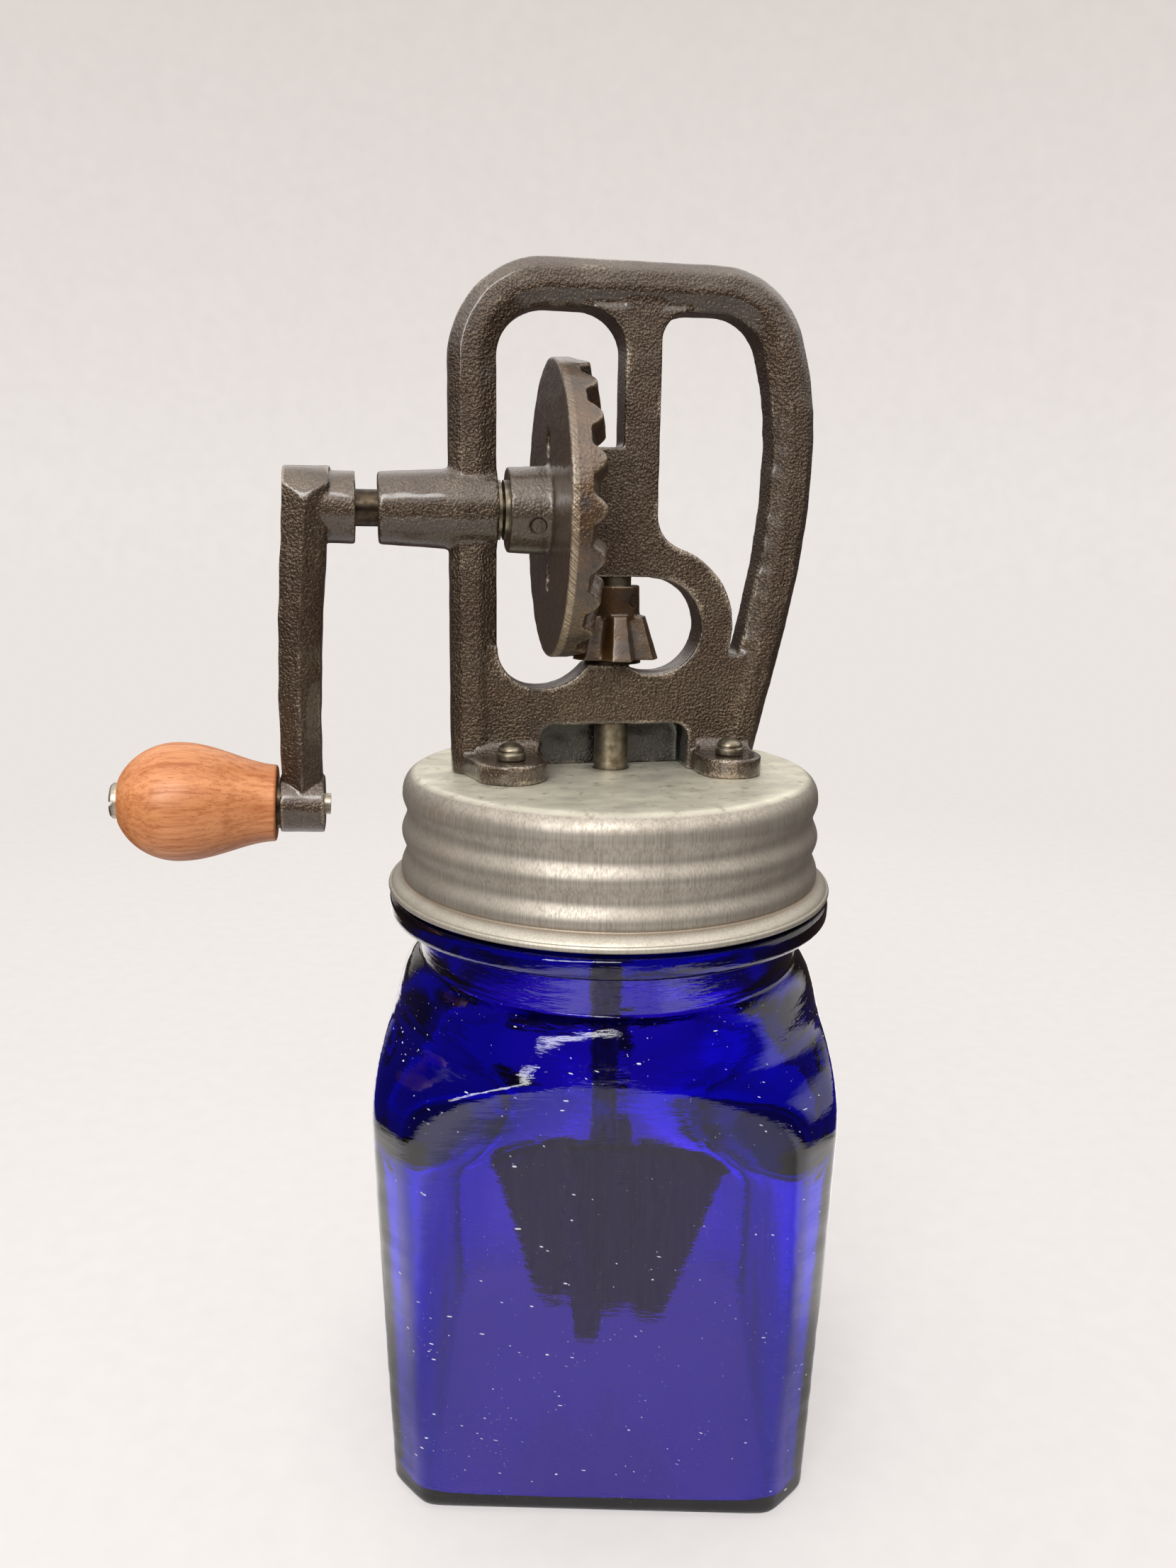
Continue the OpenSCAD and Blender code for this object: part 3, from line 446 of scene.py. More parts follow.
def start_tree(name, inputs):
    """A new Geometry Nodes tree with a mesh in and out, and named inputs as {name: socket type}."""
    tree = bpy.data.node_groups.new(name, "GeometryNodeTree")
    tree.interface.new_socket("Geometry", in_out="INPUT", socket_type="NodeSocketGeometry")
    tree.interface.new_socket("Geometry", in_out="OUTPUT", socket_type="NodeSocketGeometry")
    for label, kind in inputs.items():
        tree.interface.new_socket(label, in_out="INPUT", socket_type=kind)
    return tree, add(tree, "NodeGroupInput").node.outputs


def end_tree(tree, instances, material):
    """Ends a tree: instances made real, with their material."""
    real = add(tree, "GeometryNodeRealizeInstances", (instances,))
    painted = add(tree, "GeometryNodeSetMaterial", {0: real, "Material": material})
    add(tree, "NodeGroupOutput", (painted,))


def turned_copies(tree, thing, points, step):
    """Copies of an object on points, each turned by one more step about Z."""
    shape = add(tree, "GeometryNodeObjectInfo", {"Object": thing}, out="Geometry")
    index = add(tree, "GeometryNodeInputIndex")
    turn = add(tree, "ShaderNodeMath", (index, step), operation="MULTIPLY")
    spin = add(tree, "ShaderNodeCombineXYZ", {2: turn})
    return add(tree, "GeometryNodeInstanceOnPoints", {"Points": points, "Instance": shape, "Rotation": spin})


def run_tree(piece, tree, values):
    """Runs a tree on a piece with its named inputs set, and keeps the result as the piece's plain mesh."""
    modifier = piece.modifiers.new(tree.name, "NODES")
    modifier.node_group = tree
    for item in tree.interface.items_tree:
        if item.in_out == "INPUT" and item.name in values:
            modifier[item.identifier] = values[item.name]
    return bake(piece)


def pressed_cobalt_glass(settings):
    """Pressed cobalt glass: blue from cobalt all through the wall, with faint waves from the chilled mould."""
    material, tree, shader, place = start_material("pressed cobalt glass")
    # Chill marks lie level and are about 2 mm high and 11 mm long
    level = add(tree, "ShaderNodeMapping", {"Vector": place, "Scale": (1 / 11, 1 / 11, 1 / 2)})
    chill = add(tree, "ShaderNodeTexNoise", {"Vector": level, "Scale": 1 / MM, "Detail": 4, "Roughness": 0.6})
    height = add(tree, "ShaderNodeSeparateXYZ", (place,), out=2)
    strength = add(tree, "ShaderNodeMapRange", (height, 112 * MM, 130 * MM, 0.35, 0.7))
    bump = add(tree, "ShaderNodeBump", {"Strength": strength, "Distance": 0.24 * MM, "Height": chill})
    inside = add(tree, "ShaderNodeVolumeAbsorption", {"Color": settings.tint, "Density": settings.density})
    feed(tree.get_output_node("ALL"), {"Volume": inside})
    feed(shader, {"Base Color": (1, 1, 1), "Roughness": 0, "Transmission Weight": 1, "IOR": 1.52,
                  "Normal": bump})
    return material


def chipped_fleck():
    """Tiny chips and dried specks on the glass: white and dull."""
    material, tree, shader, place = start_material("chipped glass fleck")
    spot = add(tree, "ShaderNodeTexNoise", {"Vector": place, "Scale": 1 / (0.4 * MM)})
    tone = add(tree, "ShaderNodeMix", {0: spot, 6: linear("#aeb0cc"), 7: linear("#ffffff")}, data_type="RGBA")
    feed(shader, {"Base Color": tone, "Roughness": 0.6})
    return material


def rolled_zinc(settings):
    """Rolled zinc gone dull: pale metal with fine upright draw lines, a greenish worn deck and brown stains."""
    material, tree, shader, place = start_material("rolled zinc")
    height = add(tree, "ShaderNodeSeparateXYZ", (place,), out=2)
    # Draw lines run up the skirt: 0.5 mm wide and 60 mm long
    upright = add(tree, "ShaderNodeMapping", {"Vector": place, "Scale": (1 / 0.5, 1 / 0.5, 1 / 60)})
    lines = add(tree, "ShaderNodeTexNoise", {"Vector": upright, "Scale": 1 / MM, "Detail": 3, "Roughness": 0.65})
    broad = add(tree, "ShaderNodeMapping", {"Vector": place, "Scale": (1 / 5, 1 / 5, 1 / 45)})
    bands = add(tree, "ShaderNodeTexNoise", {"Vector": broad, "Scale": 1 / MM, "Detail": 2})
    line_tone = add(tree, "ShaderNodeMapRange", (lines, 0.4, 0.66, 0.0, 0.62))
    band_tone = add(tree, "ShaderNodeMapRange", (bands, 0.4, 0.75, 0.0, 0.3))
    dull = add(tree, "ShaderNodeMath", (line_tone, band_tone), operation="ADD", use_clamp=True)
    skirt = add(tree, "ShaderNodeMix", {0: dull, 6: settings.zinc, 7: settings.zinc_dark}, data_type="RGBA")
    # Smears on the deck run across it, 9 by 15 mm
    across = add(tree, "ShaderNodeMapping", {"Vector": place, "Scale": (1 / 15, 1 / 9, 1 / 9)})
    smears = add(tree, "ShaderNodeTexNoise", {"Vector": across, "Scale": 1 / MM, "Detail": 4, "Roughness": 0.6})
    smear_tone = add(tree, "ShaderNodeMapRange", (smears, 0.3, 0.7, 0.35, 1.0))
    deck = add(tree, "ShaderNodeMix", {0: smear_tone, 6: settings.zinc, 7: settings.zinc_deck_and_brim_highlight}, data_type="RGBA")
    on_deck = add(tree, "ShaderNodeMapRange", (height, (DECK_Z - 1.2) * MM, (DECK_Z - 0.2) * MM))
    metal = add(tree, "ShaderNodeMix", {0: on_deck, 6: skirt, 7: deck}, data_type="RGBA")
    # Painted highlight: the upward-facing brim is painted paler in the deck's colour, and painted shade darkens
    # the crease over it, 1.4 mm high
    from_crease = add(tree, "ShaderNodeMath", (height, LID_FLARE_Z * MM), operation="SUBTRACT")
    off_crease = add(tree, "ShaderNodeMath", (from_crease,), operation="ABSOLUTE")
    brim = add(tree, "ShaderNodeMapRange", (from_crease, -0.4 * MM, -1.2 * MM, 0.0, 0.16))
    metal = add(tree, "ShaderNodeMix", {0: brim, 6: metal, 7: settings.zinc_deck_and_brim_highlight}, data_type="RGBA")
    # Painted shade in the crease, in the stain colour
    crease_shade = add(tree, "ShaderNodeMapRange", (off_crease, 0.7 * MM, 0.2 * MM, 0.0, 0.6))
    metal = add(tree, "ShaderNodeMix", {0: crease_shade, 6: metal, 7: settings.zinc_stain_and_crease_shade}, data_type="RGBA")
    # Stains gather at the top corner, in blots of about 4 mm
    blots = add(tree, "ShaderNodeTexNoise",
                {"Vector": place, "Scale": 1 / (4 * MM), "Detail": 5, "Roughness": 0.7})
    blot_tone = add(tree, "ShaderNodeMapRange", (blots, 0.56, 0.72, 0.0, 0.75))
    near_corner = add(tree, "ShaderNodeMapRange", (height, (DECK_Z - 9) * MM, (DECK_Z - 2) * MM))
    stained = add(tree, "ShaderNodeMath", (blot_tone, near_corner), operation="MULTIPLY")
    tone = add(tree, "ShaderNodeMix", {0: stained, 6: metal, 7: settings.zinc_stain_and_crease_shade}, data_type="RGBA")
    rough = add(tree, "ShaderNodeMapRange", (dull, 0.0, 1.0, 0.4, 0.55))
    bump = add(tree, "ShaderNodeBump", {"Strength": 0.25, "Distance": 0.05 * MM, "Height": lines})
    feed(shader, {"Base Color": tone, "Metallic": 0.55, "Roughness": rough, "Normal": bump})
    return material


def oiled_cast_iron(settings, name, gloss, grain):
    """Sand-cast iron under old oil: dark brown, pebbled like orange peel, bright where edges are worn."""
    material, tree, shader, place = start_material(name)
    wear = add(tree, "ShaderNodeAttribute", out="Fac", attribute_name="wear")
    peel = add(tree, "ShaderNodeTexNoise",
               {"Vector": place, "Scale": 1 / settings.peel, "Detail": 1.5, "Roughness": 0.5})
    patches = add(tree, "ShaderNodeTexNoise", {"Vector": place, "Scale": 1 / (11 * MM), "Detail": 4})
    patch_tone = add(tree, "ShaderNodeMapRange", (patches, 0.35, 0.68, 0.55, 1.0))
    pits = add(tree, "ShaderNodeMapRange", (peel, 0.34, 0.6, 0.2, 1.0))
    depth = add(tree, "ShaderNodeMath", (pits, patch_tone), operation="MULTIPLY")
    # Painted shade: the pocket under the bridge, where shade falls, is painted nearly black
    x, y, z = add(tree, "ShaderNodeSeparateXYZ", (place,)).node.outputs[:3]
    beside = add(tree, "ShaderNodeMath", (x,), operation="ABSOLUTE")
    across = add(tree, "ShaderNodeMapRange", (beside, 27 * MM, 22 * MM))
    under = add(tree, "ShaderNodeMapRange", (z, 223 * MM, 218 * MM))
    within = add(tree, "ShaderNodeMapRange", (y, -7 * MM, -2 * MM))
    pocket = add(tree, "ShaderNodeMath", (across, under), operation="MULTIPLY")
    black = add(tree, "ShaderNodeMath", (pocket, within), operation="MULTIPLY")
    warmth = add(tree, "ShaderNodeTexNoise", {"Vector": place, "Scale": 1 / (17 * MM), "Detail": 3})
    warm_share = add(tree, "ShaderNodeMapRange", (warmth, 0.42, 0.66, 0.0, 0.8))
    metal_tone = add(tree, "ShaderNodeMix", {0: warm_share, 6: settings.iron, 7: settings.iron_red},
                     data_type="RGBA")
    skin_tone = add(tree, "ShaderNodeMix", {0: depth, 6: settings.iron_dark, 7: metal_tone}, data_type="RGBA")
    # The painted shade of the pocket goes over the iron here
    skin_tone = add(tree, "ShaderNodeMix", {0: black, 6: skin_tone, 7: settings.grease}, data_type="RGBA")
    rubbed = add(tree, "ShaderNodeMapRange", (patches, 0.4, 0.6, -0.45, 0.1))
    worn_noise = add(tree, "ShaderNodeMapRange", (peel, 0.0, 1.0, -0.3, 0.3))
    worn_place = add(tree, "ShaderNodeMath", (rubbed, worn_noise), operation="ADD")
    worn_edge = add(tree, "ShaderNodeMath", (wear, worn_place), operation="ADD")
    worn = add(tree, "ShaderNodeMapRange", (worn_edge, 0.25, 0.9, 0.0, 0.8))
    tone = add(tree, "ShaderNodeMix", {0: worn, 6: skin_tone, 7: settings.iron_worn}, data_type="RGBA")
    rough = add(tree, "ShaderNodeMapRange", (worn, 0.0, 1.0, gloss, gloss - 0.1))
    bump = add(tree, "ShaderNodeBump", {"Strength": 1.0, "Distance": grain * MM, "Height": peel})
    feed(shader, {"Base Color": tone, "Metallic": 0.55, "Roughness": rough, "Coat Weight": 0.9,
                  "Coat Roughness": 0.16, "Normal": bump})
    return material


def gear_iron(settings, name, ground):
    """Oiled gear iron: brown and glossy from grease, with the crown gear's rim ground bright across its edge."""
    material, tree, shader, place = start_material(name)
    wear = add(tree, "ShaderNodeAttribute", out="Fac", attribute_name="wear")
    peel = add(tree, "ShaderNodeTexNoise", {"Vector": place, "Scale": 1 / (0.9 * MM), "Detail": 2})
    grease = add(tree, "ShaderNodeTexNoise", {"Vector": place, "Scale": 1 / (6 * MM), "Detail": 4})
    grease_tone = add(tree, "ShaderNodeMapRange", (grease, 0.32, 0.68))
    base = add(tree, "ShaderNodeMix", {0: grease_tone, 6: settings.iron_dark, 7: settings.gear}, data_type="RGBA")
    worn = add(tree, "ShaderNodeMapRange", (wear, 0.25, 0.9, 0.0, 0.6 if ground else 0.25))
    tone = add(tree, "ShaderNodeMix", {0: worn, 6: base, 7: settings.gear_ground}, data_type="RGBA")
    rough = add(tree, "ShaderNodeMapRange", (grease_tone, 0.0, 1.0, 0.42, 0.3))
    if ground:
        # The back is bare grey casting; the rim's ground edge is 2 mm wide, with slanted file marks 0.7 mm apart
        x, y, z = add(tree, "ShaderNodeSeparateXYZ", (place,)).node.outputs[:3]
        at_back = add(tree, "ShaderNodeMapRange", (x, (GEAR_BACK_X + 1.2) * MM, (GEAR_BACK_X + 0.4) * MM))
        pitted = add(tree, "ShaderNodeMix", {0: peel, 6: settings.iron_dark, 7: settings.iron}, data_type="RGBA")
        tone = add(tree, "ShaderNodeMix", {0: at_back, 6: tone, 7: pitted}, data_type="RGBA")
        up = add(tree, "ShaderNodeMath", (z, APEX_Z * MM), operation="SUBTRACT")
        out = add(tree, "ShaderNodeCombineXYZ", (y, up))
        radius = add(tree, "ShaderNodeVectorMath", (out,), operation="LENGTH")
        at_rim = add(tree, "ShaderNodeMapRange", (radius, (GEAR_R - 0.9) * MM, (GEAR_R - 0.5) * MM))
        behind = add(tree, "ShaderNodeMapRange", (x, (GEAR_BACK_X + 2.2) * MM, (GEAR_BACK_X + 1.7) * MM))
        rim = add(tree, "ShaderNodeMath", (at_rim, behind), operation="MULTIPLY")
        turn = add(tree, "ShaderNodeMath", (y, up), operation="ARCTAN2")
        slant = add(tree, "ShaderNodeMath", (turn, GEAR_R * MM, x), operation="MULTIPLY_ADD")
        marks = add(tree, "ShaderNodeTexNoise", {"W": slant, "Scale": 1 / (0.7 * MM), "Detail": 1},
                    noise_dimensions="1D")
        mark_tone = add(tree, "ShaderNodeMapRange", (marks, 0.4, 0.6, 0.25, 1.0))
        low = add(tree, "ShaderNodeMapRange", (up, 22 * MM, -12 * MM, 0.25, 1.0))
        ground_rim = add(tree, "ShaderNodeMath", (rim, low), operation="MULTIPLY")
        filed = add(tree, "ShaderNodeMath", (ground_rim, mark_tone), operation="MULTIPLY")
        tone = add(tree, "ShaderNodeMix", {0: filed, 6: tone, 7: settings.gear_ground}, data_type="RGBA")
    grain = 0.7 * MM if ground else 0.12 * MM
    bump = add(tree, "ShaderNodeBump", {"Strength": 0.8, "Distance": grain, "Height": peel})
    feed(shader, {"Base Color": tone, "Metallic": 0.3, "Roughness": rough, "Coat Weight": 0.8 if ground else 0.5,
                  "Coat Roughness": 0.18, "Normal": bump})
    return material


def turned_steel(name, tone_value, dark_value, roughness):
    """Turned steel: fine tool lines, dulled in patches by old oil and worn plating."""
    material, tree, shader, place = start_material(name)
    patches = add(tree, "ShaderNodeTexNoise", {"Vector": place, "Scale": 1 / (2.5 * MM), "Detail": 5})
    patch_tone = add(tree, "ShaderNodeMapRange", (patches, 0.35, 0.7))
    tone = add(tree, "ShaderNodeMix", {0: patch_tone, 6: tone_value, 7: dark_value}, data_type="RGBA")
    rough = add(tree, "ShaderNodeMapRange", (patch_tone, 0.0, 1.0, roughness, roughness + 0.16))
    level = add(tree, "ShaderNodeMapping", {"Vector": place, "Scale": (1 / 4, 1 / 4, 1 / 0.4)})
    lines = add(tree, "ShaderNodeTexNoise", {"Vector": level, "Scale": 1 / MM, "Detail": 2})
    bump = add(tree, "ShaderNodeBump", {"Strength": 0.2, "Distance": 0.05 * MM, "Height": lines})
    feed(shader, {"Base Color": tone, "Metallic": 0.9, "Roughness": rough, "Normal": bump})
    return material


def grained_wood(name, settings, pale, dark, along, roughness):
    """Close-grained hardwood: long lines with the grain, short dark flecks, and a little sheen from hands."""
    material, tree, shader, place = start_material(name)
    long_way = [1.0, 1.0, 1.0]
    long_way[along] = 1 / 16
    stretched = add(tree, "ShaderNodeMapping", {"Vector": place, "Scale": long_way})
    lines = add(tree, "ShaderNodeTexNoise", {"Vector": stretched, "Scale": 1 / settings.grain, "Detail": 4,
                                             "Roughness": 0.6, "Distortion": 0.3})
    line_tone = add(tree, "ShaderNodeMapRange", (lines, 0.42, 0.72, 0.0, 0.75))
    broad = add(tree, "ShaderNodeTexNoise", {"Vector": stretched, "Scale": 1 / (6 * settings.grain)})
    broad_tone = add(tree, "ShaderNodeMapRange", (broad, 0.35, 0.7, 0.0, 0.4))
    # Flecks of 0.28 by 2.2 mm, where rays in the wood are cut across
    long_way[along] = 1 / 8
    fleck_place = add(tree, "ShaderNodeMapping", {"Vector": place, "Scale": long_way})
    flecks = add(tree, "ShaderNodeTexNoise", {"Vector": fleck_place, "Scale": 1 / (0.28 * MM), "Detail": 1})
    fleck_tone = add(tree, "ShaderNodeMapRange", (flecks, 0.62, 0.74, 0.0, 0.7))
    grain = add(tree, "ShaderNodeMath", (line_tone, broad_tone), operation="ADD")
    shade = add(tree, "ShaderNodeMath", (grain, fleck_tone), operation="ADD", use_clamp=True)
    tone = add(tree, "ShaderNodeMix", {0: shade, 6: pale, 7: dark}, data_type="RGBA")
    rough = add(tree, "ShaderNodeMapRange", (shade, 0.0, 1.0, roughness, roughness + 0.15))
    bump = add(tree, "ShaderNodeBump", {"Strength": 0.3, "Distance": 0.08 * MM, "Height": shade}, invert=True)
    feed(shader, {"Base Color": tone, "Roughness": rough, "Normal": bump})
    return material


def seal_rubber(settings):
    """Moulded rubber: matt, dusty brown-black."""
    material, tree, shader, place = start_material("seal rubber")
    dust = add(tree, "ShaderNodeTexNoise", {"Vector": place, "Scale": 1 / (3 * MM), "Detail": 5})
    tone = add(tree, "ShaderNodeMix", {0: dust, 6: settings.seal, 7: linear("#2a241f")}, data_type="RGBA")
    feed(shader, {"Base Color": tone, "Roughness": 0.75})
    return material


def smooth_least(radii, soft):
    """The least of some radii, with the edges between them softened over about that many millimetres."""
    return -soft * np.log(sum(np.exp(-r / soft) for r in radii))


def shoulder_profile():
    """Heights and radii of the turned shoulder: an ellipse from the corners' reach, then a crest to the neck."""
    points = arc((SHOULDER_MID_R, JAR_BODY_H), (SHOULDER_A, SHOULDER_B), 0, 60, 25)
    points += [*SHOULDER_CREST, (JAR_NECK_R, JAR_WAIST_Z)]
    levels, window = 147, 13
    heights = np.linspace(JAR_BODY_H, JAR_WAIST_Z, levels)
    radii = np.interp(heights, [p[1] for p in points], [p[0] for p in points])
    kernel = np.hanning(window)
    padded = np.pad(radii, window // 2, mode="reflect", reflect_type="odd")
    return heights, np.convolve(padded, kernel / kernel.sum(), mode="valid")


def glass_thickness(height):
    """Thickness of the wall at a height: heavier at the neck, where the glass was pressed."""
    return JAR_WALL + np.interp(height, *HEAVY_WALL)


def bore_radius(height):
    """Radius of the round bore that goes down from the neck through the heavy shoulder and then opens out."""
    heights, radii = BORE
    return np.interp(height, (*heights, BORE_TOP_Z), (*radii, JAR_NECK_R - glass_thickness(BORE_TOP_Z)))


def jar_turns(count):
    """Angles round the jar, closer together at the edges of the corner cuts."""
    fine = np.linspace(0, QUARTER, 2001)
    edge = math.atan2(JAR_SHOULDER_HALF - JAR_CORNER, JAR_SHOULDER_HALF)
    crowd, span = 4, math.radians(1.8)
    weight = 1 + sum(crowd * np.exp(-((fine - e) / span) ** 2) for e in (edge, QUARTER - edge))
    total = np.cumsum(weight)
    quarter = np.interp(np.arange(count // 4) * total[-1] / (count // 4), total, fine)
    return np.concatenate([quarter + i * QUARTER for i in range(4)])


def jar_outline(turns, height, inset, soft, shoulder):
    """Radii round the body at one height: four flats, four corner cuts and the turned shoulder."""
    rise = min(max(height, 0) / JAR_BODY_H, 1)
    half = JAR_BASE_HALF + (JAR_SHOULDER_HALF - JAR_BASE_HALF) * rise
    cut = (2 * half - JAR_CORNER) / math.sqrt(2)
    from_flat = (turns + QUARTER / 2) % QUARTER - QUARTER / 2
    from_cut = turns % QUARTER - QUARTER / 2
    sides = smooth_least([(half - inset) / np.cos(from_flat), (cut - inset) / np.cos(from_cut)], soft[0])
    turned = np.full_like(turns, np.interp(height, *shoulder) - inset)
    return smooth_least([sides, turned], soft[1])


def neck_profile():
    """Radii and heights from the waist up over the bead and the rim, and down the bore to the waist again."""
    profile = [(JAR_NECK_R, z) for z in np.linspace(JAR_WAIST_Z + 0.4, BEAD_Z - COLLAR_FILLET - 0.2, 12)]
    profile += arc((JAR_NECK_R + COLLAR_FILLET, BEAD_Z - COLLAR_FILLET), COLLAR_FILLET, 180, 90, 6)
    profile += [(BEAD_UNDER_R, BEAD_Z)]
    profile += arc((BEAD_R - BEAD_ROUND, BEAD_Z + BEAD_ROUND), BEAD_ROUND, -90, 0, 8)
    profile += arc((BEAD_R - LIP_R, BEAD_TOP_Z - LIP_R), LIP_R, 0, 90, 7)
    profile += [(r, BEAD_TOP_Z) for r in BEAD_TOP_RADII]
    profile += [(JAR_NECK_R, z) for z in np.linspace(BEAD_TOP_Z + 0.8, JAR_RIM_Z - LIP_R, 10)]
    profile += arc((JAR_NECK_R - LIP_R, JAR_RIM_Z - LIP_R), LIP_R, 10, 90, 6)
    profile += arc((JAR_NECK_R - JAR_WALL + 1, JAR_RIM_Z - 1), 1, 90, 180, 5)
    return profile + [(JAR_NECK_R - glass_thickness(z), z) for z in np.linspace(JAR_RIM_Z - 3, JAR_WAIST_Z, 24)]


class CHURN_OT_glass_jar(bpy.types.Operator):
    """Builds the pressed glass jar and the flecks on it"""

    bl_idname = "churn.glass_jar"
    bl_label = "Glass jar"

    def execute(self, context):
        settings = context.scene.churn_glass
        soft = (settings.edge / MM, settings.shoulder_edge / MM)
        turns = jar_turns(JAR_STEPS)
        shoulder = shoulder_profile()

        def ring(radii, height):
            """A ring of points, from one radius or one for each turn."""
            angles = turns + JAR_TURN
            return np.stack([radii * np.cos(angles), radii * np.sin(angles), np.full_like(turns, height)], axis=1)

        def body(height, inset, at, softness):
            """The body's outline at a height, drawn in by an inset, as a ring at its own height."""
            return ring(jar_outline(turns, height, inset, softness, shoulder), at)

        base = jar_outline(turns, 0, JAR_HEEL, soft, shoulder)
        under = [np.zeros((1, 3))] + [ring(base * share, 0) for share in FLOOR_RINGS]
        heel = [body(z, inset, z, soft) for inset, z in
                ((JAR_HEEL * (1 - math.sin(a)), JAR_HEEL * (1 - math.cos(a))) for a in np.linspace(0, QUARTER, 8))]
        levels = np.concatenate([np.linspace(JAR_HEEL, JAR_FINE_Z, 110)[1:],
                                 np.linspace(JAR_FINE_Z, JAR_WAIST_Z, 40)[1:]])
        sides = [body(z, 0, z, soft) for z in levels]
        self.ripple(settings, turns, sides)
        neck = [ring(r, z) for r, z in neck_profile()]
        heel_z = JAR_FLOOR + JAR_INNER_HEEL
        hollow = []
        for z in np.linspace(JAR_WAIST_Z, heel_z, 120)[1:]:
            walls = jar_outline(turns, z, glass_thickness(z), INNER_SOFT, shoulder)
            hollow.append(ring(smooth_least([walls, np.full_like(turns, bore_radius(z))], BORE_SOFT), z))
        hollow += [body(heel_z, JAR_WALL + JAR_INNER_HEEL * (1 - math.cos(a)),
                        heel_z - JAR_INNER_HEEL * math.sin(a), INNER_SOFT)
                   for a in np.linspace(0, QUARTER, 9)[1:]]
        floor_r = jar_outline(turns, heel_z, JAR_WALL + JAR_INNER_HEEL, INNER_SOFT, shoulder)
        hollow += [ring(floor_r * share, JAR_FLOOR) for share in reversed(FLOOR_RINGS)]
        hollow += [np.array([[0.0, 0.0, JAR_FLOOR]])]
        jar = skin("jar_glass", under + heel + sides + neck + hollow)
        settle(jar, "jar", pressed_cobalt_glass(settings), ["glass_jar"])
        self.flecks(settings, sides)
        return {"FINISHED"}

    def ripple(self, settings, turns, sides):
        """Slow waves in the walls, and level folds at the corners, which chilled first and wrinkled."""
        corner_span, waist_fade = math.radians(9), 6
        places = np.concatenate(sides) * MM
        waves = lumps(places, settings.ripple_size / MM, settings.seed) * settings.ripple / MM
        level = places * np.array([0.25, 0.25, 1.0])
        folds = lumps(level, settings.fold_size / MM, settings.seed + 1) * settings.fold / MM
        at_corner = np.exp(-((turns % QUARTER - QUARTER / 2) / corner_span) ** 2)
        for rows, lift, fold in zip(sides, np.split(waves, len(sides)), np.split(folds, len(sides))):
            fade = np.clip((JAR_WAIST_Z - rows[:, 2]) / waist_fade, 0, 1) * (lift + fold * at_corner)
            rows[:, :2] *= (1 + fade / np.hypot(rows[:, 0], rows[:, 1]))[:, None]

    def flecks(self, settings, sides):
        """Small chips and dried specks on the outside, in clusters about 16 mm across."""
        tree, given = start_tree("Flecks on the glass", {"Per square metre": "NodeSocketFloat",
                                                         "Largest": "NodeSocketFloat", "Seed": "NodeSocketInt"})
        spot = add(tree, "GeometryNodeInputPosition")
        cloud = add(tree, "ShaderNodeTexNoise", {"Vector": spot, "Scale": 1 / (16 * MM), "Detail": 2})
        crowd = add(tree, "ShaderNodeMapRange", (cloud, 0.45, 0.72, 0.12, 2.2))
        density = add(tree, "ShaderNodeMath", (crowd, given["Per square metre"]), operation="MULTIPLY")
        spread = add(tree, "GeometryNodeDistributePointsOnFaces",
                     {"Mesh": given["Geometry"], "Density": density, "Seed": given["Seed"]}).node.outputs
        chance = add(tree, "FunctionNodeRandomValue", {"Seed": given["Seed"]})
        size = add(tree, "ShaderNodeMath", (chance, 5.0), operation="POWER")
        least = add(tree, "ShaderNodeMath", (size, 0.83, 0.17), operation="MULTIPLY_ADD")
        radius = add(tree, "ShaderNodeMath", (least, given["Largest"]), operation="MULTIPLY")
        shape = add(tree, "FunctionNodeRandomValue",
                    {0: (0.6, 0.2, 0.08), 1: (1.6, 0.6, 0.16), "Seed": given["Seed"]}, data_type="FLOAT_VECTOR")
        angle = add(tree, "FunctionNodeRandomValue", {2: 0.0, 3: math.pi, "Seed": given["Seed"]})
        about = add(tree, "ShaderNodeCombineXYZ", {2: angle})
        spun = add(tree, "FunctionNodeRotateRotation", (spread["Rotation"], about), rotation_space="LOCAL")
        scale = add(tree, "ShaderNodeVectorMath", {0: shape, "Scale": radius}, operation="SCALE")
        chip = add(tree, "GeometryNodeMeshIcoSphere", {"Radius": 1.0, "Subdivisions": 1})
        placed = add(tree, "GeometryNodeInstanceOnPoints",
                     {"Points": spread["Points"], "Instance": chip, "Rotation": spun, "Scale": scale})
        end_tree(tree, placed, chipped_fleck())
        flecks = skin("glass_flecks", sides)
        run_tree(flecks, tree, {"Per square metre": float(settings.flecks), "Largest": settings.fleck,
                                "Seed": settings.seed})
        settle(flecks, "jar")


def skirt_radius(height):
    """Radius of the lid's rolled skirt at a height."""
    wave = math.cos(2 * math.pi * (LID_WAVE_Z - LID_SHIFT - height) / LID_PITCH)
    return LID_R + LID_RIDGE * wave + (LID_WAVE_Z - height) * LID_DRAFT


def lid_edge(inset):
    """The lid's edge from the deck down, the sheet's thickness further in for its inside."""
    corner = arc((skirt_radius(LID_WAVE_Z) - LID_CORNER, LID_WAVE_Z),
                 (LID_CORNER - inset, DECK_Z - LID_WAVE_Z - inset), 90, 0, 14)
    wave = [(skirt_radius(z) - inset, z) for z in np.linspace(LID_WAVE_Z, LID_FLARE_Z, 56)[1:]]
    flare_r = skirt_radius(LID_FLARE_Z)
    bell = [(flare_r + (LID_RIM_R - flare_r) * (1 - (1 - t) ** LID_FLARE_POWER) - inset,
             LID_FLARE_Z - LID_SKIRT * t - inset / 2) for t in np.linspace(0, 5 / 6, 14)[1:]]
    return corner + wave + bell


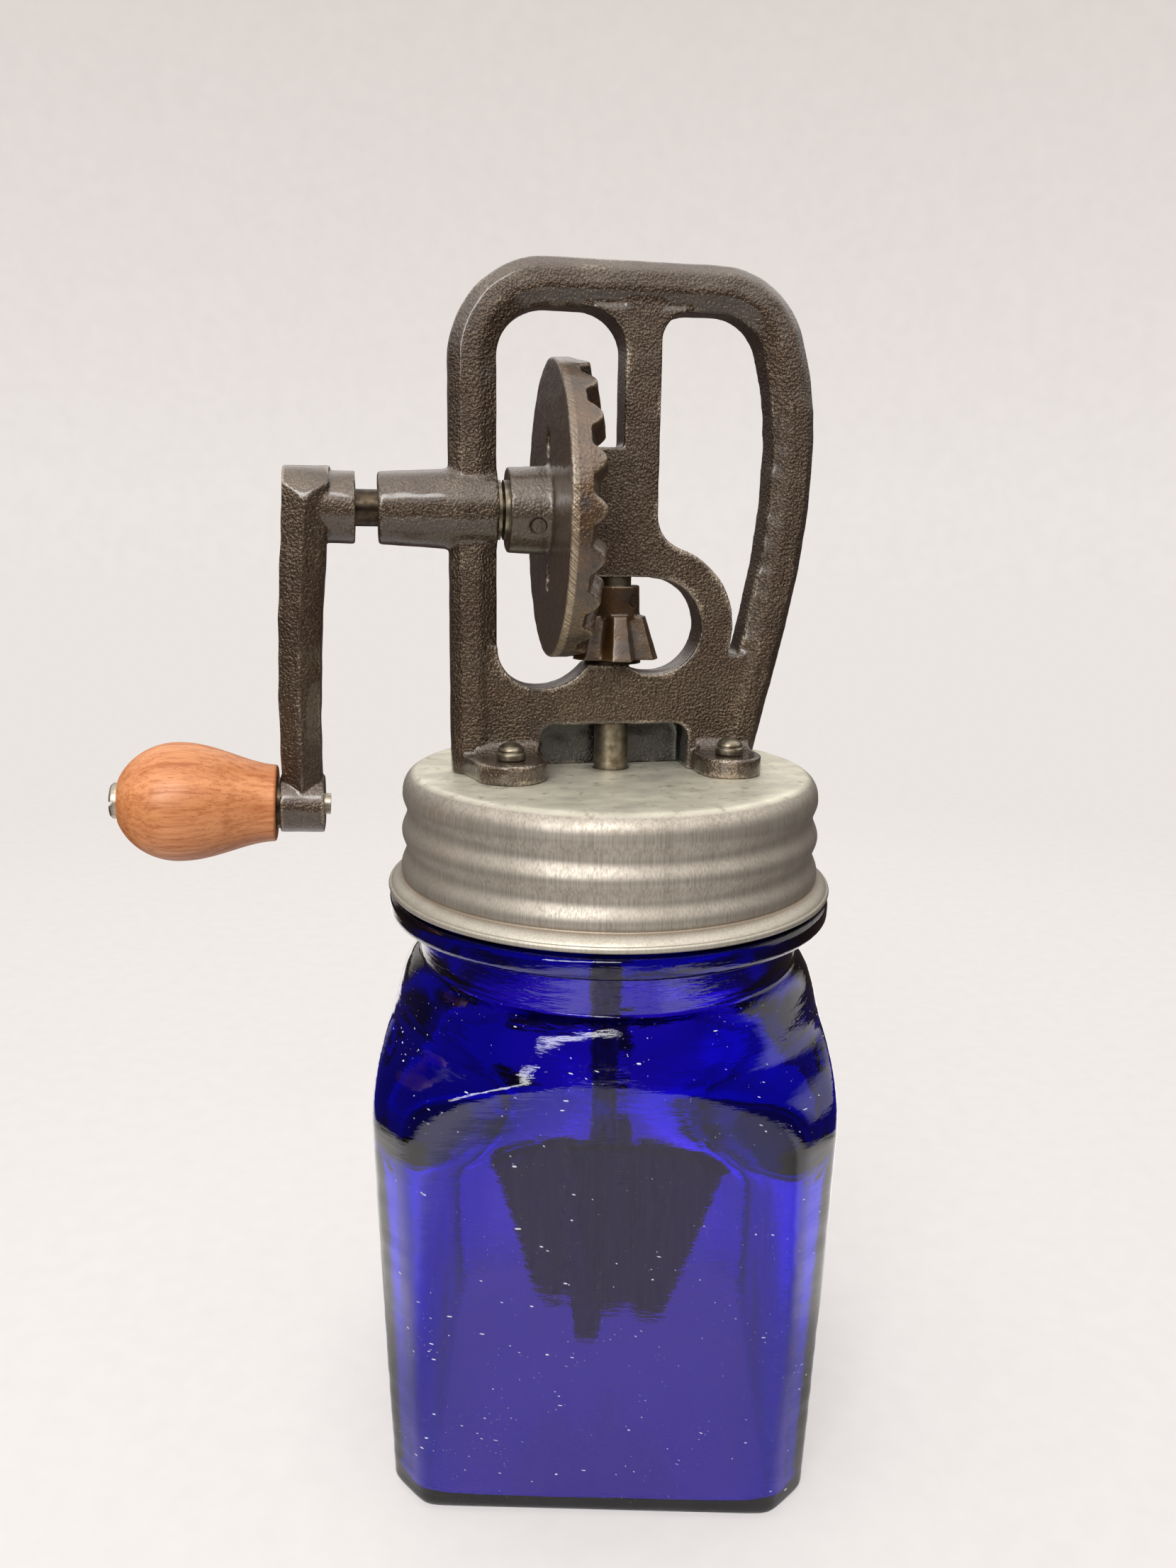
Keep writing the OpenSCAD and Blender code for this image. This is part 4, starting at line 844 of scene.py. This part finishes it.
class CHURN_OT_screw_lid(bpy.types.Operator):
    """Builds the rolled zinc lid and dresses its sealing ring"""

    bl_idname = "churn.screw_lid"
    bl_label = "Screw lid"

    def execute(self, context):
        outer, inner = lid_edge(0), lid_edge(LID_SHEET)
        deck = [(r, DECK_Z) for r in np.linspace(LID_HOLE_R, outer[0][0], 12)[:-1]]
        under = [(r, DECK_Z - LID_SHEET) for r in np.linspace(inner[0][0], LID_HOLE_R, 12)[1:]]
        roll = arc((LID_RIM_R - LID_SHEET / 2, LID_RIM_Z), LID_ROLL, 60, -240, 18)
        lid = lathe("lid_zinc", deck + outer + roll + inner[::-1] + under, LID_STEPS, closed=True)
        settle(lid, "lid", rolled_zinc(context.scene.churn_metal), ["screw_lid"])
        dress(seal_rubber(context.scene.churn_wood), "lid_seal")
        return {"FINISHED"}


class CHURN_OT_castings(bpy.types.Operator):
    """Builds the frame and the crank arm as sand castings"""

    bl_idname = "churn.castings"
    bl_label = "Frame and crank arm"

    def execute(self, context):
        settings = context.scene.churn_metal
        body = casting("frame", "frame_casting", settings.frame_voxel, rounds=4, lump=0.12, lump_size=5.0)
        iron = oiled_cast_iron(settings, "oiled cast iron", gloss=0.34, grain=0.85)
        settle(body, "lid", iron, ["frame"])
        arm = casting("crank_arm", "crank_arm_casting", settings.arm_voxel, rounds=4, lump=0.25, lump_size=7.0)
        places = vertex_array(arm.data, "co")
        down = np.clip((APEX_Z - places[:, 2] / MM) / ARM_LEN, 0, 1)
        places[:, 0] -= settings.arm_bow * np.sin(math.pi * down)
        arm.data.vertices.foreach_set("co", places.ravel())
        arm.data.update()
        filed = oiled_cast_iron(settings, "filed cast iron", gloss=0.34, grain=0.5)
        settle(arm, "crank", filed, ["crank_arm"])
        return {"FINISHED"}


class CHURN_OT_gear_train(bpy.types.Operator):
    """Builds the crown gear and pinion, and dresses the shafts, pins and washers"""

    bl_idname = "churn.gear_train"
    bl_label = "Gear train"

    def execute(self, context):
        settings = context.scene.churn_metal
        gear = casting("crown_gear", "crown_gear_casting", settings.gear_voxel, rounds=9, lump=0.14, lump_size=4.0)
        ground = gear_iron(settings, "ground gear iron", ground=True)
        greased = gear_iron(settings, "greased gear iron", ground=False)
        settle(gear, "crank", ground, ["crown_gear"])
        pinion = casting("pinion", "pinion_casting", settings.pinion_voxel, rounds=6, lump=0.08, lump_size=3.0)
        settle(pinion, "dasher", greased, ["pinion"])
        dress(ground, "gear_pin")
        dress(greased, "pinion_pin")
        plated = turned_steel("plated steel", settings.plated, linear("#5a4e3d"), roughness=0.3)
        oiled = turned_steel("oiled steel", settings.oiled, linear("#241d17"), roughness=0.28)
        bright = turned_steel("bare spindle steel", linear("#c6bfb0"), linear("#7d7365"), roughness=0.34)
        dress(plated, "bolt_washers", "bolt_nuts", "frame_washer", "hub_washer", "dasher_shaft")
        dress(bright, "knob_spindle")
        dress(oiled, "crank_shaft", "pinion_washer", "dasher_pin", "knob_washer")
        return {"FINISHED"}


class CHURN_OT_frame_bolts(bpy.types.Operator):
    """Builds the four bolts that hold the frame on the lid"""

    bl_idname = "churn.frame_bolts"
    bl_label = "Frame bolts"

    def execute(self, context):
        settings = context.scene.churn_metal
        tier = BOLT_HEAD_H * 0.45
        profile = [(0.0, BOLT_END_Z), (BOLT_R - 0.4, BOLT_END_Z), (BOLT_R, BOLT_END_Z + 0.4),
                   (BOLT_R, BOLT_HEAD_Z), (BOLT_HEAD_R - 0.5, BOLT_HEAD_Z),
                   (BOLT_HEAD_R - 0.12, BOLT_HEAD_Z + 0.15), (BOLT_HEAD_R, BOLT_HEAD_Z + 0.5),
                   (BOLT_HEAD_R, BOLT_HEAD_Z + tier - 0.3), (BOLT_HEAD_R - 0.2, BOLT_HEAD_Z + tier),
                   (BOLT_HEAD_R - 0.62, BOLT_HEAD_Z + tier + 0.05)]
        profile += arc((0, BOLT_HEAD_Z + tier + 0.35), (BOLT_HEAD_R - 0.35, BOLT_HEAD_H - tier - 0.35), 0, 84, 10)
        profile += [(0.0, BOLT_HEAD_Z + BOLT_HEAD_H)]
        bolt = lathe("bolt_shape", profile, BOLT_STEPS)
        tree, given = start_tree("Bolts in the feet", {"Bolt": "NodeSocketObject"})
        placed = turned_copies(tree, given["Bolt"], given["Geometry"], BOLT_TURN)
        steel = turned_steel("browned bolt steel", settings.plated, linear("#3d3325"), roughness=0.3)
        end_tree(tree, placed, steel)
        mesh = bpy.data.meshes.new("frame_bolts_fine")
        mesh.from_pydata([(x * MM, y * MM, 0) for x, y in BOLT_PLACES], [], [])
        bolts = put("frame_bolts_fine", mesh)
        run_tree(bolts, tree, {"Bolt": bolt})
        bpy.data.objects.remove(bolt)
        settle(bolts, "lid", replaced=["frame_bolts"])
        return {"FINISHED"}


class CHURN_OT_knob(bpy.types.Operator):
    """Builds the turned wooden knob"""

    bl_idname = "churn.knob"
    bl_label = "Knob"

    def execute(self, context):
        settings = context.scene.churn_wood
        neck = [(KNOB_END_R + (KNOB_R - KNOB_END_R) * (1 - math.cos(math.pi * t ** 0.92)) / 2, KNOB_BELLY * t)
                for t in np.linspace(0.04, 1, 34)[:-1]]
        crown = [p for p in arc((0, KNOB_BELLY), (KNOB_R, KNOB_LEN - KNOB_BELLY + KNOB_CROWN), 0, 75, 40)
                 if p[1] < KNOB_LEN - 0.15 and p[0] > KNOB_FLAT_R]
        profile = [(KNOB_BORE_R, 0.0), (KNOB_END_R - KNOB_LIP, 0.0), (KNOB_END_R - 0.15, 0.2),
                   (KNOB_END_R, KNOB_LIP)]
        profile += neck + crown + [(KNOB_FLAT_R, KNOB_LEN), (KNOB_BORE_R, KNOB_LEN)]
        place = (Matrix.Translation((ARM_X, 0, APEX_Z)) @ Matrix.Rotation(ARM_LEAN, 4, "Y")
                 @ Matrix.Translation((KNOB_FROM, 0, -ARM_LEN)) @ Matrix.Rotation(-QUARTER, 4, "Y"))
        knob = lathe("knob_beech", profile, KNOB_STEPS, place, closed=True)
        wood = grained_wood("oiled beech", settings, settings.knob, settings.knob_dark, along=0, roughness=0.36)
        settle(knob, "knob", wood, ["knob"])
        return {"FINISHED"}


class CHURN_OT_dasher(bpy.types.Operator):
    """Builds the dasher's four blades and its hub"""

    bl_idname = "churn.dasher"
    bl_label = "Dasher"

    def execute(self, context):
        settings = context.scene.churn_wood
        wood = grained_wood("bare maple", settings, settings.dasher, settings.dasher_dark, along=2, roughness=0.55)
        board = bevelled_copy("dasher_blade_1", "board_shape", width=0.8)
        tree, given = start_tree("Blades round the hub", {"Board": "NodeSocketObject", "Count": "NodeSocketInt"})
        points = add(tree, "GeometryNodePoints", {"Count": given["Count"]})
        step = add(tree, "ShaderNodeMath", (2 * math.pi, given["Count"]), operation="DIVIDE")
        placed = turned_copies(tree, given["Board"], points, step)
        end_tree(tree, placed, wood)
        blades = put("dasher_blades", bpy.data.meshes.new("dasher_blades"))
        names = [f"dasher_blade_{i}" for i in range(1, 5)]
        run_tree(blades, tree, {"Board": board, "Count": len(names)})
        bpy.data.objects.remove(board)
        settle(blades, "dasher", replaced=names)
        hub = bevelled_copy("dasher_hub", "dasher_hub_turned", width=0.6)
        settle(hub, "dasher", wood, ["dasher_hub"])
        return {"FINISHED"}


class CHURN_OT_stage(bpy.types.Operator):
    """Sets the paper floor, the background, the lamps and the camera"""

    bl_idname = "churn.stage"
    bl_label = "Stage"

    def execute(self, context):
        settings = context.scene.churn_stage
        scene = context.scene
        self.floor(settings)
        self.background(scene, settings)
        self.lamp("lamp_strip", STRIP_PLACE, (0.85, 0.19), STRIP_ROLL, settings.key, in_gloss=True)
        self.lamp("lamp_tube", STRIP_PLACE, (0.7, 0.07), STRIP_ROLL, settings.tube, in_gloss=True)
        self.lamp("lamp_overhead", OVERHEAD_PLACE, (1.1, 1.1), 0, settings.overhead, in_gloss=False)
        self.camera(scene, settings)
        scene.view_settings.view_transform = "Standard"
        return {"FINISHED"}

    def floor(self, settings):
        """A wide sheet of paper, plain towards the horizon; gloss sees it end in front and at the sides."""
        mesh = bpy.data.meshes.new("floor_paper")
        corners = [(FLOOR_R * math.cos(a), FLOOR_R * math.sin(a), FLOOR_Z)
                   for a in np.arange(FLOOR_SIDES) * 2 * math.pi / FLOOR_SIDES]
        mesh.from_pydata(corners, [], [range(FLOOR_SIDES)])
        floor = put("floor_paper", mesh)
        material = bpy.data.materials.new("white paper sheet")
        tree = start_nodes(material)
        place = add(tree, "ShaderNodeTexCoord", out="Object")
        x, y = add(tree, "ShaderNodeSeparateXYZ", (place,)).node.outputs[:2]
        path = add(tree, "ShaderNodeLightPath").node.outputs
        # Mottled paper that bounces half its light onto the churn
        mottle = add(tree, "ShaderNodeTexNoise", {"Vector": place, "Scale": 1 / (9 * MM), "Detail": 5})
        shade = add(tree, "ShaderNodeMapRange", (mottle, 0.25, 0.75, 0.975, 1.01))
        paper = add(tree, "ShaderNodeVectorMath", {0: settings.paper, "Scale": shade}, operation="SCALE")
        bounce = add(tree, "ShaderNodeMapRange", (path["Is Diffuse Ray"], 0.0, 1.0, 1.0, 0.5))
        sheet_tone = add(tree, "ShaderNodeVectorMath", {0: paper, "Scale": bounce}, operation="SCALE")
        lit = add(tree, "ShaderNodeBsdfDiffuse", {"Color": sheet_tone})
        distance = add(tree, "ShaderNodeVectorMath", (place,), operation="LENGTH")
        # The camera sees plain paper further out; glass shows it plain too, and a painted contact shadow dims it
        # where the jar stands on it
        contact_shadow_depth = add(tree, "ShaderNodeMapRange", (path["Is Camera Ray"], 0.0, 1.0, 0.5, 0.86))
        painted_contact_shadow = add(tree, "ShaderNodeMapRange", (distance, 0.05, 0.11, contact_shadow_depth, 1.0),
                      interpolation_type="SMOOTHSTEP")
        dimmed = add(tree, "ShaderNodeMath", (shade, painted_contact_shadow), operation="MULTIPLY")
        away = add(tree, "ShaderNodeMapRange", (distance, 0.2, 0.9))
        tone = add(tree, "ShaderNodeMix", {0: away, 6: settings.paper, 7: settings.horizon}, data_type="RGBA")
        plain_tone = add(tree, "ShaderNodeVectorMath", {0: tone, "Scale": dimmed}, operation="SCALE")
        plain = add(tree, "ShaderNodeEmission", {"Color": plain_tone})
        far = add(tree, "ShaderNodeMapRange", (distance, 0.09, 0.6, 0.7, 1.0), interpolation_type="SMOOTHSTEP")
        flat = add(tree, "ShaderNodeMath", (far, path["Is Camera Ray"], path["Is Transmission Ray"]),
                   operation="MULTIPLY_ADD", use_clamp=True)
        sheet = add(tree, "ShaderNodeMixShader", (flat, lit, plain))
        # Clear glass mirrors brighter paper at both sides
        wide = add(tree, "ShaderNodeMath", (x,), operation="ABSOLUTE")
        lift = add(tree, "ShaderNodeMapRange", (wide, 0.08, 0.14, 0.0, 2.0))
        card_light = add(tree, "ShaderNodeEmission", {"Color": settings.paper, "Strength": lift})
        beside = add(tree, "ShaderNodeMapRange", (wide, 0.08, 0.14))
        carded = add(tree, "ShaderNodeMath", (beside, path["Is Singular Ray"]), operation="MULTIPLY")
        card_gloss = add(tree, "ShaderNodeMath", (carded, path["Is Glossy Ray"]), operation="MULTIPLY")
        sheet = add(tree, "ShaderNodeMixShader", (card_gloss, sheet, card_light))
        # Past the paper's edges gloss shows a dim room, and for dull metal the paper ends close behind the churn
        ahead = add(tree, "ShaderNodeMapRange", (y, -0.58, -0.62))
        aside = add(tree, "ShaderNodeMapRange", (wide, 0.26, 0.3))
        edge = add(tree, "ShaderNodeMath", (ahead, aside), operation="MAXIMUM")
        after = add(tree, "ShaderNodeMapRange", (y, 0.2, 0.3))
        dull = add(tree, "ShaderNodeMapRange", (path["Is Singular Ray"], 0.0, 1.0, 1.0, 0.0))
        dull_after = add(tree, "ShaderNodeMath", (after, dull), operation="MULTIPLY")
        past = add(tree, "ShaderNodeMath", (edge, dull_after), operation="MAXIMUM")
        room = add(tree, "ShaderNodeEmission", {"Color": settings.room})
        dim = add(tree, "ShaderNodeMath", (past, path["Is Glossy Ray"]), operation="MULTIPLY")
        whole = add(tree, "ShaderNodeMixShader", (dim, sheet, room))
        add(tree, "ShaderNodeOutputMaterial", {"Surface": whole})
        mesh.materials.append(material)

    def background(self, scene, settings):
        """A pale backdrop; gloss sees it only behind the churn, and a dim room elsewhere."""
        world = bpy.data.worlds.new("paper backdrop")
        scene.world = world
        tree = start_nodes(world)
        way = add(tree, "ShaderNodeTexCoord", out="Generated")
        side, back, up = add(tree, "ShaderNodeSeparateXYZ", (way,)).node.outputs[:3]
        path = add(tree, "ShaderNodeLightPath").node.outputs
        # Mottled paper from the horizon up, which the camera and glass see
        height = add(tree, "ShaderNodeMapRange", (up, 0.02, 0.38))
        tone = add(tree, "ShaderNodeMix", {0: height, 6: settings.horizon, 7: settings.top}, data_type="RGBA")
        mottle = add(tree, "ShaderNodeTexNoise", {"Vector": way, "Scale": 90.0, "Detail": 5})
        shade = add(tree, "ShaderNodeMapRange", (mottle, 0.25, 0.75, 0.975, 1.015))
        paper = add(tree, "ShaderNodeVectorMath", {0: tone, "Scale": shade}, operation="SCALE")
        behind = add(tree, "ShaderNodeMapRange", (back, 0.8, 0.95), interpolation_type="SMOOTHSTEP")
        # Clear glass mirrors a card on the right; duller metal takes a soft glow from above, in front and behind
        right = add(tree, "ShaderNodeMapRange", (side, 0.72, 0.85, 0.0, settings.card))
        not_front = add(tree, "ShaderNodeMapRange", (back, -0.3, -0.15))
        card = add(tree, "ShaderNodeMath", (right, not_front), operation="MULTIPLY")
        mirrored = add(tree, "ShaderNodeMath", (behind, card), operation="MAXIMUM")
        over = add(tree, "ShaderNodeMapRange", (up, 0.05, 0.65, 0.0, settings.glow),
                   interpolation_type="SMOOTHSTEP")
        before = add(tree, "ShaderNodeMapRange", (back, 0.3, -0.5, 0.5, 1.0))
        above = add(tree, "ShaderNodeMath", (over, before), operation="MULTIPLY")
        rear = add(tree, "ShaderNodeMapRange", (back, 0.2, 0.75))
        raised = add(tree, "ShaderNodeMapRange", (up, 0.2, 0.3))
        deck_light = add(tree, "ShaderNodeMath", (rear, raised), operation="MULTIPLY")
        dulled = add(tree, "ShaderNodeMath", (above, deck_light), operation="MAXIMUM")
        bright = add(tree, "ShaderNodeMix", {0: path["Is Singular Ray"], 2: dulled, 3: mirrored})
        gloss = add(tree, "ShaderNodeMix", {0: bright, 6: settings.room, 7: settings.horizon},
                    data_type="RGBA", clamp_factor=False)
        # Everything else gets soft light from all round
        soft = add(tree, "ShaderNodeVectorMath", {0: settings.horizon, "Scale": settings.ambient},
                   operation="SCALE")
        seen = add(tree, "ShaderNodeMath", (path["Is Camera Ray"], path["Is Transmission Ray"]), operation="ADD",
                   use_clamp=True)
        first = add(tree, "ShaderNodeMix", {0: path["Is Glossy Ray"], 6: soft, 7: gloss}, data_type="RGBA")
        final = add(tree, "ShaderNodeMix", {0: seen, 6: first, 7: paper}, data_type="RGBA")
        shader = add(tree, "ShaderNodeBackground", {"Color": final})
        add(tree, "ShaderNodeOutputWorld", {"Surface": shader})

    def lamp(self, name, place, size, roll, power, in_gloss):
        """A soft rectangular lamp that looks at the churn's middle, rolled about its aim, in gloss or not."""
        light = bpy.data.lights.new(name, "AREA")
        light.shape = "RECTANGLE"
        light.size, light.size_y = size
        light.energy = power
        lamp = put(name, light)
        lamp.location = place
        aim = LAMP_AIM - lamp.location
        turn = aim.to_track_quat("-Z", "Y").to_matrix() @ Matrix.Rotation(roll, 3, "Z")
        lamp.rotation_euler = turn.to_euler()
        lamp.visible_glossy = in_gloss

    def camera(self, scene, settings):
        """The photograph's camera: close in front of the churn, a little above it and to its left."""
        data = bpy.data.cameras.new("camera")
        data.lens = settings.lens
        data.sensor_width = SENSOR
        ahead = LOOK.normalized()
        side = ahead.cross(Vector((0, 0, 1))).normalized()
        above = side.cross(ahead)
        right = side * math.cos(EYE_ROLL) + above * math.sin(EYE_ROLL)
        top = above * math.cos(EYE_ROLL) - side * math.sin(EYE_ROLL)
        camera = put("camera", data)
        turn = Matrix((right, top, -ahead)).transposed()
        camera.matrix_world = Matrix.Translation(EYE) @ turn.to_4x4()
        scene.camera = camera


GROUPS = {ChurnGlass: "churn_glass", ChurnMetal: "churn_metal", ChurnWood: "churn_wood", ChurnStage: "churn_stage"}
OPERATORS = (CHURN_OT_glass_jar, CHURN_OT_screw_lid, CHURN_OT_castings, CHURN_OT_gear_train, CHURN_OT_frame_bolts,
             CHURN_OT_knob, CHURN_OT_dasher, CHURN_OT_stage)


class CHURN_PT_panel(bpy.types.Panel):
    """Lists the churn's pieces and settings"""

    bl_idname = "CHURN_PT_panel"
    bl_label = "Butter churn"
    bl_space_type = "VIEW_3D"
    bl_region_type = "UI"
    bl_category = "Churn"

    def draw(self, context):
        for operator in OPERATORS:
            self.layout.operator(operator.bl_idname)
        for group, owner in GROUPS.items():
            box = self.layout.box()
            box.label(text=group.__doc__)
            for name in group.__annotations__:
                box.prop(getattr(context.scene, owner), name)


CLASSES = (*GROUPS, *OPERATORS, CHURN_PT_panel)


def register():
    for item in CLASSES:
        bpy.utils.register_class(item)
    for group, name in GROUPS.items():
        setattr(bpy.types.Scene, name, PointerProperty(type=group))


def unregister():
    for name in GROUPS.values():
        delattr(bpy.types.Scene, name)
    for item in reversed(CLASSES):
        bpy.utils.unregister_class(item)


def main():
    register()
    bpy.ops.churn.glass_jar()
    bpy.ops.churn.screw_lid()
    bpy.ops.churn.castings()
    bpy.ops.churn.gear_train()
    bpy.ops.churn.frame_bolts()
    bpy.ops.churn.knob()
    bpy.ops.churn.dasher()
    bpy.ops.churn.stage()


if __name__ == "__main__":
    main()
